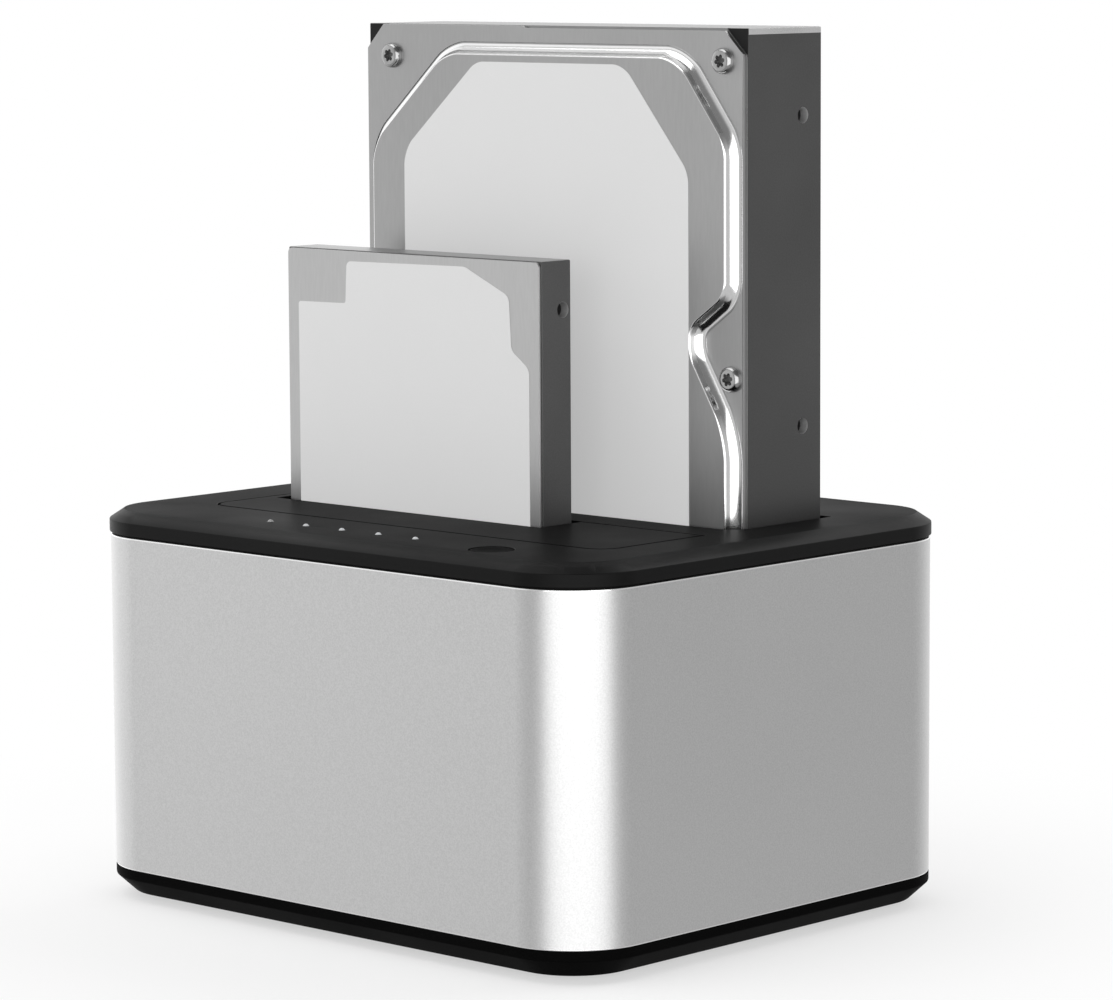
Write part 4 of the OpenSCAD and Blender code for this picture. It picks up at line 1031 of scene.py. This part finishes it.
# Large drive, motor
# The spindle motor's round flange lies in the casting's back, with its turned cap in the middle.
hub_radius = 13.5 * mm
hub_out = 0.8 * mm
hub = rod(
    "motor_hub", motor - Vector((0, mm, 0)), motor + Vector((0, hub_out, 0)), hub_radius, 96
)
with editing(hub):
    pick(hub, "FACE", lambda face: face.normal.y > 0.9)
    for inset_by, depth in ((1.6, 0), (0.3, -0.5), (4.2, 0), (0.2, 0.35), (3.4, 0), (0.2, -0.3)):
        bpy.ops.mesh.inset(thickness=inset_by * mm, depth=depth * mm)
turned_metal = finish("turned_metal", grey(150), grey(176), 0.28, metallic=1.0, cloud=0.008)
complete(hub, turned_metal, 0.1 * mm, "large_drive", "casting_grey")


# Large drive, cover
# A pressed steel sheet closes the front. Its middle stands forward in a field with polished
# slopes, painted lighter than the sheet as a painted highlight, cut in at the right to leave
# room for a screw; the corners are cut off.
def moved_out(points, by):
    """An outline's corners with every side moved out, and the corners' radii with them."""
    moved = []
    for i, (x, z, radius) in enumerate(points):
        here = Vector((x, z))
        before, after = (Vector(p[:2]) for p in (points[i - 1], points[i + 1 - len(points)]))
        first, second = (here - before).normalized(), (after - here).normalized()
        out_1, out_2 = Vector((first.y, -first.x)), Vector((second.y, -second.x))
        convex = first.cross(second) > 0
        corner = here + by * (out_1 + out_2) / (1 + out_1.dot(out_2))
        moved.append((corner.x, corner.y, radius + (by if convex else -by)))
    return moved


drive_sheet = finish(
    "drive_sheet", grey(160), grey(172), 0.36, metallic=1.0, cloud=0.03, speck=0.0004,
    stretch=(1, 1, 0.1),
)
polished_slope_highlight = finish(
    "polished_slope_highlight", grey(235), grey(246), 0.15, rough_change=0.02, metallic=1.0
)
sheet_front = large_low.y - 0.9 * mm
field_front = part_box("large_cover")[0].y
cut_off = 4.9
sheet_step_x = 44.5
sheet = plate("large_cover_sheet", at(large_low, [
    (cut_off, 0.4, 0), (large_w - cut_off, 0.4, 0), (large_w - 0.4, cut_off, 0),
    (large_w - 0.4, large_l - cut_off, 0), (large_w - cut_off, large_l - 0.5, 0),
    (sheet_step_x, large_l - 0.5, 0), (sheet_step_x - 1, large_l - 0.1, 0),
    (cut_off, large_l - 0.1, 0), (0.4, large_l - cut_off, 0), (0.4, cut_off, 0),
]), sheet_front, large_low.y - sheet_front)

field_right = large_w - 3.2
field_left = 4.4
field_top = large_l - 6
bay_middle = large_l - 64
field_points = [
    (12, 7.5, 3), (field_right - 11.3, 7.5, 3), (field_right, 20, 8),
    (field_right, bay_middle - 13.5, 19), (field_right - 9.1, bay_middle + 1.5, 9),
    (field_right - 9.1, bay_middle + 7, 5), (field_right, bay_middle + 13.5, 5),
    (field_right, field_top - 16, 8), (field_right - 12.1, field_top, 9),
    (field_left + 20.2, field_top, 9), (field_left, field_top - 18.4, 9), (field_left, 17, 8),
]
field_high = (sheet_front - field_front) / mm
slope_angle = radians(75)
foot_round = 2.1
edge_round = 0.45
wall_high = field_high - (foot_round + edge_round) * (1 - cos(slope_angle))
slope = []
for i in range(1, 9):
    turn = slope_angle * i / 8
    slope.append((foot_round * sin(turn), foot_round * (1 - cos(turn))))
slope.append((slope[-1][0] + wall_high / tan(slope_angle), slope[-1][1] + wall_high))
wall_end = slope[-1]
for i in range(5, -1, -1):
    turn = slope_angle * i / 6
    slope.append((
        wall_end[0] + edge_round * (sin(slope_angle) - sin(turn)),
        wall_end[1] + edge_round * (cos(turn) - cos(slope_angle)),
    ))
field = plate(
    "field", at(large_low, moved_out(field_points, slope[-1][0])), sheet_front - 0.01 * mm,
    0.3 * mm, 12,
)
with editing(field):
    pick(field, "FACE", lambda face: face.normal.y < -0.9)
    done = (0, 0.01)
    for step in slope:
        bpy.ops.mesh.inset(thickness=(step[0] - done[0]) * mm, depth=(step[1] - done[1]) * mm)
        done = step
apply_modifier(sheet, "BOOLEAN", operation="UNION", object=field, solver="EXACT")
bpy.data.objects.remove(field)
dress(sheet, drive_sheet, polished_slope_highlight)
soften(sheet, 0.12 * mm, angle=70)
# The slopes get the lighter polished finish, a painted highlight in part.
paint(
    sheet, 1,
    lambda face: sheet_front - face.center.y > 0.02 * mm and -0.985 < face.normal.y < 0.5,
)
place(sheet, "large_drive", "large_sheet", "large_cover")


# Large drive, cover screws
# Five zinc-plated screws hold the cover. Their round heads are rolled with a soft edge and have
# a six-lobed hole for the driver, whose walls are painted darker as painted shade. One is
# modelled and the others are copies of it.
screw_steel = finish(
    "screw_steel", grey(150), grey(176), 0.16, metallic=1.0, cloud=0.002, speck=0.0002
)
screw_hole_shade = finish("screw_hole_shade", grey(84), grey(110), 0.45, metallic=0.4, cloud=0.001)
shank_radius = 1.4 * mm
head_radius = 2.5 * mm
head_high = 1.3 * mm
lobe_radius = 0.36 * mm
lobe_reach = 0.92 * mm
lobe_count = 6
first_lobe = 0.2
drive_deep = 0.9 * mm
screw_places = [
    (7.6, large_l - 6.4), (large_w - 5.2, large_l - 6.2), (large_w - 3.3, large_l - 66.8),
    (5.2, 5.4), (large_w - 5.2, 5.4),
]


def sunk_rod(name, centre, radius, sides):
    """A rod for cutting a head's hole, in the darker finish that its walls get as painted shade."""
    tool = rod(
        name, centre - Vector((0, head_high + mm, 0)),
        centre - Vector((0, head_high - drive_deep, 0)), radius, sides,
    )
    # The hole's walls get a darker finish: painted shade.
    dress(tool, screw_hole_shade)
    return tool


first_screw = rod("first_screw", Vector((0, 2 * mm, 0)), Vector((0, 0, 0)), shank_radius, 64)
with editing(first_screw):
    pick(first_screw, "FACE", lambda face: face.normal.y < -0.9)
    bpy.ops.mesh.extrude_region_move(TRANSFORM_OT_translate={"value": (0, 0.01 * mm, 0)})
    wider = head_radius / shank_radius
    bpy.ops.transform.resize(value=(wider, 1, wider), center_override=(0, 0, 0))
    for width, depth in ((0, 0.45), (0.12, 0.45), (0.25, 0.27), (0.3, 0.12), (0.3, 0.01)):
        if width:
            bpy.ops.mesh.inset(thickness=width * mm, depth=depth * mm)
        else:
            bpy.ops.mesh.extrude_region_move(TRANSFORM_OT_translate={"value": (0, -depth * mm, 0)})
    bpy.ops.mesh.select_all(action="SELECT")
    bpy.ops.mesh.normals_make_consistent(inside=False)
dress(first_screw, screw_steel)
cut(first_screw, sunk_rod("middle", Vector((0, 0, 0)), lobe_reach, 48))
for lobe in range(lobe_count):
    turn = 2 * pi * lobe / lobe_count + first_lobe
    cut(first_screw, sunk_rod(
        "lobe", Vector((cos(turn), 0, sin(turn))) * lobe_reach, lobe_radius, 20
    ))
soften(first_screw, 0.07 * mm, angle=50)

screws = copies("large_cover_screws_lobed", first_screw, [
    (large_low.x + x * mm, sheet_front, large_low.z + z * mm) for x, z in screw_places
])
place(screws, "large_drive", "screw_steel", "large_cover_screws")


# Labels
# Plain light grey paper labels, pressed flat on the drives' covers and left bare. They glow a
# little as painted light, which keeps them evenly light also where shade falls.
label_paper = finish(
    "label_paper", grey(149), grey(154), 0.8, specular=0.1, speck=0.0003, speck_share=0.4
)
# The labels' glow is painted light that evens out the shade on them.
painted_label_light = 0.4
label_glow_shader = label_paper.node_tree.nodes["Principled BSDF"]
label_glow_shader.inputs["Emission Color"].default_value = (1, 1, 1, 1)
label_glow_shader.inputs["Emission Strength"].default_value = painted_label_light
label_side = 13.2
label_right = large_w - label_side + 1.2
label_top = large_l - 7.2
label_thick = 0.12 * mm
label = plate("large_label_sheet", at(large_low, [
    (label_side, 12, 1), (label_right, 12, 1), (label_right, label_top - 20.3, 6),
    (label_right - 16.6, label_top, 6), (label_side + 20.2, label_top, 5),
    (label_side, label_top - 18, 7),
]), field_front - label_thick, label_thick)
complete(label, label_paper, 0.03 * mm, "large_drive", "label_grey", "large_label")


# Large drive, board
# A green board covers the lower half of the back, its parts turned inwards; outside it shows
# its tracks, its plated holes, four screws and rows of round test pads.
for name in ("large_board_screws", "small_board_screws"):
    dress(frame["nodes"][name], plated_steel)
drive_board_green = printed_board(
    "drive_board_green", (0.005, 0.036, 0.022, 1), (0.013, 0.075, 0.046, 1), 90
)
moulded(
    "large_board", "large_board_print", drive_board_green, 0.06 * mm, "large_drive", "drive_board"
)

pad_places = [(20 + 3.2 * i, 30) for i in range(9)] + [(60 + 2.6 * i, 46) for i in range(12)]
pad_places += [(18, 50 + 4 * i) for i in range(6)] + [(84, 60 + 3.4 * i) for i in range(5)]
pad_places += [(34 + 3 * i, 63) for i in range(6)]
pad_radius = 0.7 * mm
pad_out = 0.04 * mm
first_pad = rod(
    "first_pad", Vector((0, -0.05 * mm, 0)), Vector((0, pad_out, 0)), pad_radius, 20
)
dress(first_pad, contact_gold)
soften(first_pad, 0.015 * mm)
pads = copies("large_board_pads", first_pad, [
    (large_low.x + x * mm, board_high.y, large_low.z + z * mm) for x, z in pad_places
])
place(pads, "large_drive", "drive_board")


# Small drive
# A laptop-size drive: a thin casting with side holes, a flat pressed cover with a plain label,
# and a board on its back.
small_low, small_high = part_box("small_casting")
small_w = (small_high.x - small_low.x) / mm
small_l = (small_high.z - small_low.z) / mm
small_board_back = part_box("small_board")[1].y
small_hole_from_back = 3 * mm
small_side_holes = (14, 90.6)

small_paint = finish(
    "small_paint", grey(78), grey(90), 0.36, metallic=0.5, speck=0.0003, speck_share=0.5,
    bump=0.12,
)
small = block("small_casting_body", small_low, small_high)
dress(small, small_paint)
plug_room(small, *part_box("small_plug"), small_high.y)
for z in small_side_holes:
    for x, outward in ((small_low.x, -1), (small_high.x, 1)):
        mouth = Vector((
            x, small_board_back + board_play - small_hole_from_back, small_low.z + z * mm
        ))
        side_hole(small, mouth, outward, 3)
cut(small, plate("pocket", at(small_low, [
    (5, 62, 2), (64.8, 62, 2), (64.8, 95, 6), (5, 95, 6)
]), small_high.y - 1.2 * mm, 2 * mm))
soften(small, 0.25 * mm)
machined = len(small.data.materials)
small.data.materials.append(machined_metal)
paint(
    small, machined,
    lambda face: face.normal.z > 0.6 and face.center.z > small_high.z - 0.4 * mm,
)
place(small, "small_drive", "small_casting_grey", "small_casting")

small_sheet = finish(
    "small_sheet", grey(180), grey(192), 0.38, metallic=1.0, cloud=0.02, speck=0.0004,
    stretch=(1, 1, 0.1),
)
small_front = small_low.y - 0.6 * mm
small_cover = plate("small_cover_sheet", at(small_low, [
    (0.3, 0.3, 2), (small_w - 0.3, 0.3, 2), (small_w - 0.3, small_l - 0.2, 1),
    (0.3, small_l - 0.2, 1),
]), small_front, small_low.y - small_front)
complete(small_cover, small_sheet, 0.15 * mm, "small_drive", "small_sheet", "small_cover")

small_right = small_w - 2.9
small_top = small_l - 2
small_label = plate("small_label_sheet", at(small_low, [
    (3.4, 6, 0.8), (small_right, 6, 0.8), (small_right, small_top - 18.8, 2.5),
    (small_right - 4.7, small_top - 15.4, 2), (small_right - 5.3, small_top - 5, 2),
    (small_right - 17.1, small_top + 0.2, 3), (17.2, small_top - 0.2, 1.2),
    (16.8, small_top - 8.6, 0.6), (3.4, small_top - 8.8, 0.6),
]), small_front - label_thick, label_thick)
complete(small_label, label_paper, 0.03 * mm, "small_drive", "label_grey", "small_label")

moulded(
    "small_board", "small_board_print", drive_board_green, 0.05 * mm, "small_drive", "drive_board"
)


# Studio
# A pale floor in a white room, a wide soft lamp beside the camera, one on the left, one above
# and one behind. The camera stands where the photograph's did.
camera_place = Vector((0.62802476, -0.66145309, 0.19215934))
camera_turn = radians(43.032571591564356)
camera_tip = radians(7.026379675489365)
camera_roll = -0.005257290268165872
focal_px = 4638.27882326157
image_w = 1113
sensor_w = 36

forward = Vector((
    -sin(camera_turn) * cos(camera_tip), cos(camera_turn) * cos(camera_tip), -sin(camera_tip)
))
level = forward.cross(Vector((0, 0, 1))).normalized()
above = level.cross(forward)
right = level * cos(camera_roll) + above * sin(camera_roll)
up = above * cos(camera_roll) - level * sin(camera_roll)
camera_data = bpy.data.cameras.new("camera")
camera_data.sensor_width = sensor_w
camera_data.lens = focal_px * sensor_w / image_w
camera = bpy.data.objects.new("camera", camera_data)
camera.matrix_world = (
    Matrix.Translation(camera_place) @ Matrix((right, up, -forward)).transposed().to_4x4()
)
bpy.context.scene.collection.objects.link(camera)
bpy.context.scene.camera = camera

bpy.ops.object.select_all(action="DESELECT")
bpy.ops.mesh.primitive_plane_add(size=6)
floor = bpy.context.active_object
floor.name = "floor"
floor_white = bpy.data.materials.new("floor_white")
floor_white.use_nodes = True
tree = floor_white.node_tree
paper = tree.nodes["Principled BSDF"]
paper.inputs["Base Color"].default_value = grey(250)
paper.inputs["Roughness"].default_value = 0.9
paper.inputs["Specular IOR Level"].default_value = 0.1
lit = node_in(tree, "ShaderNodeEmission", {"Strength": 1.0})
spot = node_in(tree, "ShaderNodeTexCoord")
reach = node_in(tree, "ShaderNodeVectorMath", {0: spot.outputs["Object"]}, operation="LENGTH")
shadow_reach, plain_reach, shadow_lit = 0.06, 0.2, 0.55
fade = node_in(
    tree, "ShaderNodeMapRange",
    {
        "Value": reach.outputs["Value"], "From Min": shadow_reach, "From Max": plain_reach,
        "To Min": shadow_lit,
    },
    interpolation_type="SMOOTHSTEP",
)
seen = node_in(tree, "ShaderNodeLightPath")
share = worked_out(tree, "MULTIPLY", fade.outputs["Result"], seen.outputs["Is Camera Ray"])
ground = node_in(
    tree, "ShaderNodeMixShader", {0: share, 1: paper.outputs["BSDF"], 2: lit.outputs["Emission"]}
)
tree.links.new(ground.outputs["Shader"], tree.nodes["Material Output"].inputs["Surface"])
dress(floor, floor_white)
floor.visible_glossy = False


def softbox(name, turn, distance, height, width, tall, power):
    """A lamp at a turn round the object, from the front towards the right, facing its middle."""
    data = bpy.data.lights.new(name, "AREA")
    data.shape = "RECTANGLE"
    data.size = width
    data.size_y = tall
    data.energy = power
    lamp = bpy.data.objects.new(name, data)
    lamp.location = (distance * sin(radians(turn)), -distance * cos(radians(turn)), height)
    aim = Vector((0, 0, 0.08)) - lamp.location
    lamp.rotation_euler = aim.to_track_quat("-Z", "Y").to_euler()
    bpy.context.scene.collection.objects.link(lamp)
    return lamp


softbox("front_lamp", 50, 1.6, 0.1, 3.1, 1.6, 25.5)
softbox("left_lamp", -45, 1.8, 0.3, 1.6, 1.6, 2.6)
softbox("upper_lamp", -35, 0.7, 1.5, 1.2, 1.2, 9)
softbox("back_lamp", 165, 1.3, 1.3, 1.2, 1.2, 9)

world = bpy.data.worlds.new("white_room")
bpy.context.scene.world = world
world.use_nodes = True
tree = world.node_tree
way = node_in(tree, "ShaderNodeTexCoord")
room_light = 0.6
for direction, start, full, change in (
    ((-0.69, 0.72, 0), 0.2, 1.0, 0.55), ((-1, 0, 0), 0.6, 1.0, 0.4),
    ((0.35, -0.15, 0.92), 0.45, 0.85, -0.4), ((0, 0, -1), 0.75, 0.95, -0.4),
):
    share = node_in(
        tree, "ShaderNodeVectorMath", {0: way.outputs["Generated"], 1: direction},
        operation="DOT_PRODUCT",
    )
    ramp = node_in(
        tree, "ShaderNodeMapRange",
        {"Value": share.outputs["Value"], "From Min": start, "From Max": full, "To Max": change},
        interpolation_type="SMOOTHSTEP",
    )
    room_light = worked_out(tree, "ADD", ramp.outputs["Result"], room_light)
seen = node_in(tree, "ShaderNodeLightPath")
room = tree.nodes["Background"]
room.inputs["Color"].default_value = (1, 1, 1, 1)
strength = node_in(
    tree, "ShaderNodeMix", {0: seen.outputs["Is Camera Ray"], 2: room_light, 3: 1.0}
)
tree.links.new(strength.outputs[0], room.inputs["Strength"])

bpy.context.scene.view_settings.view_transform = "Standard"
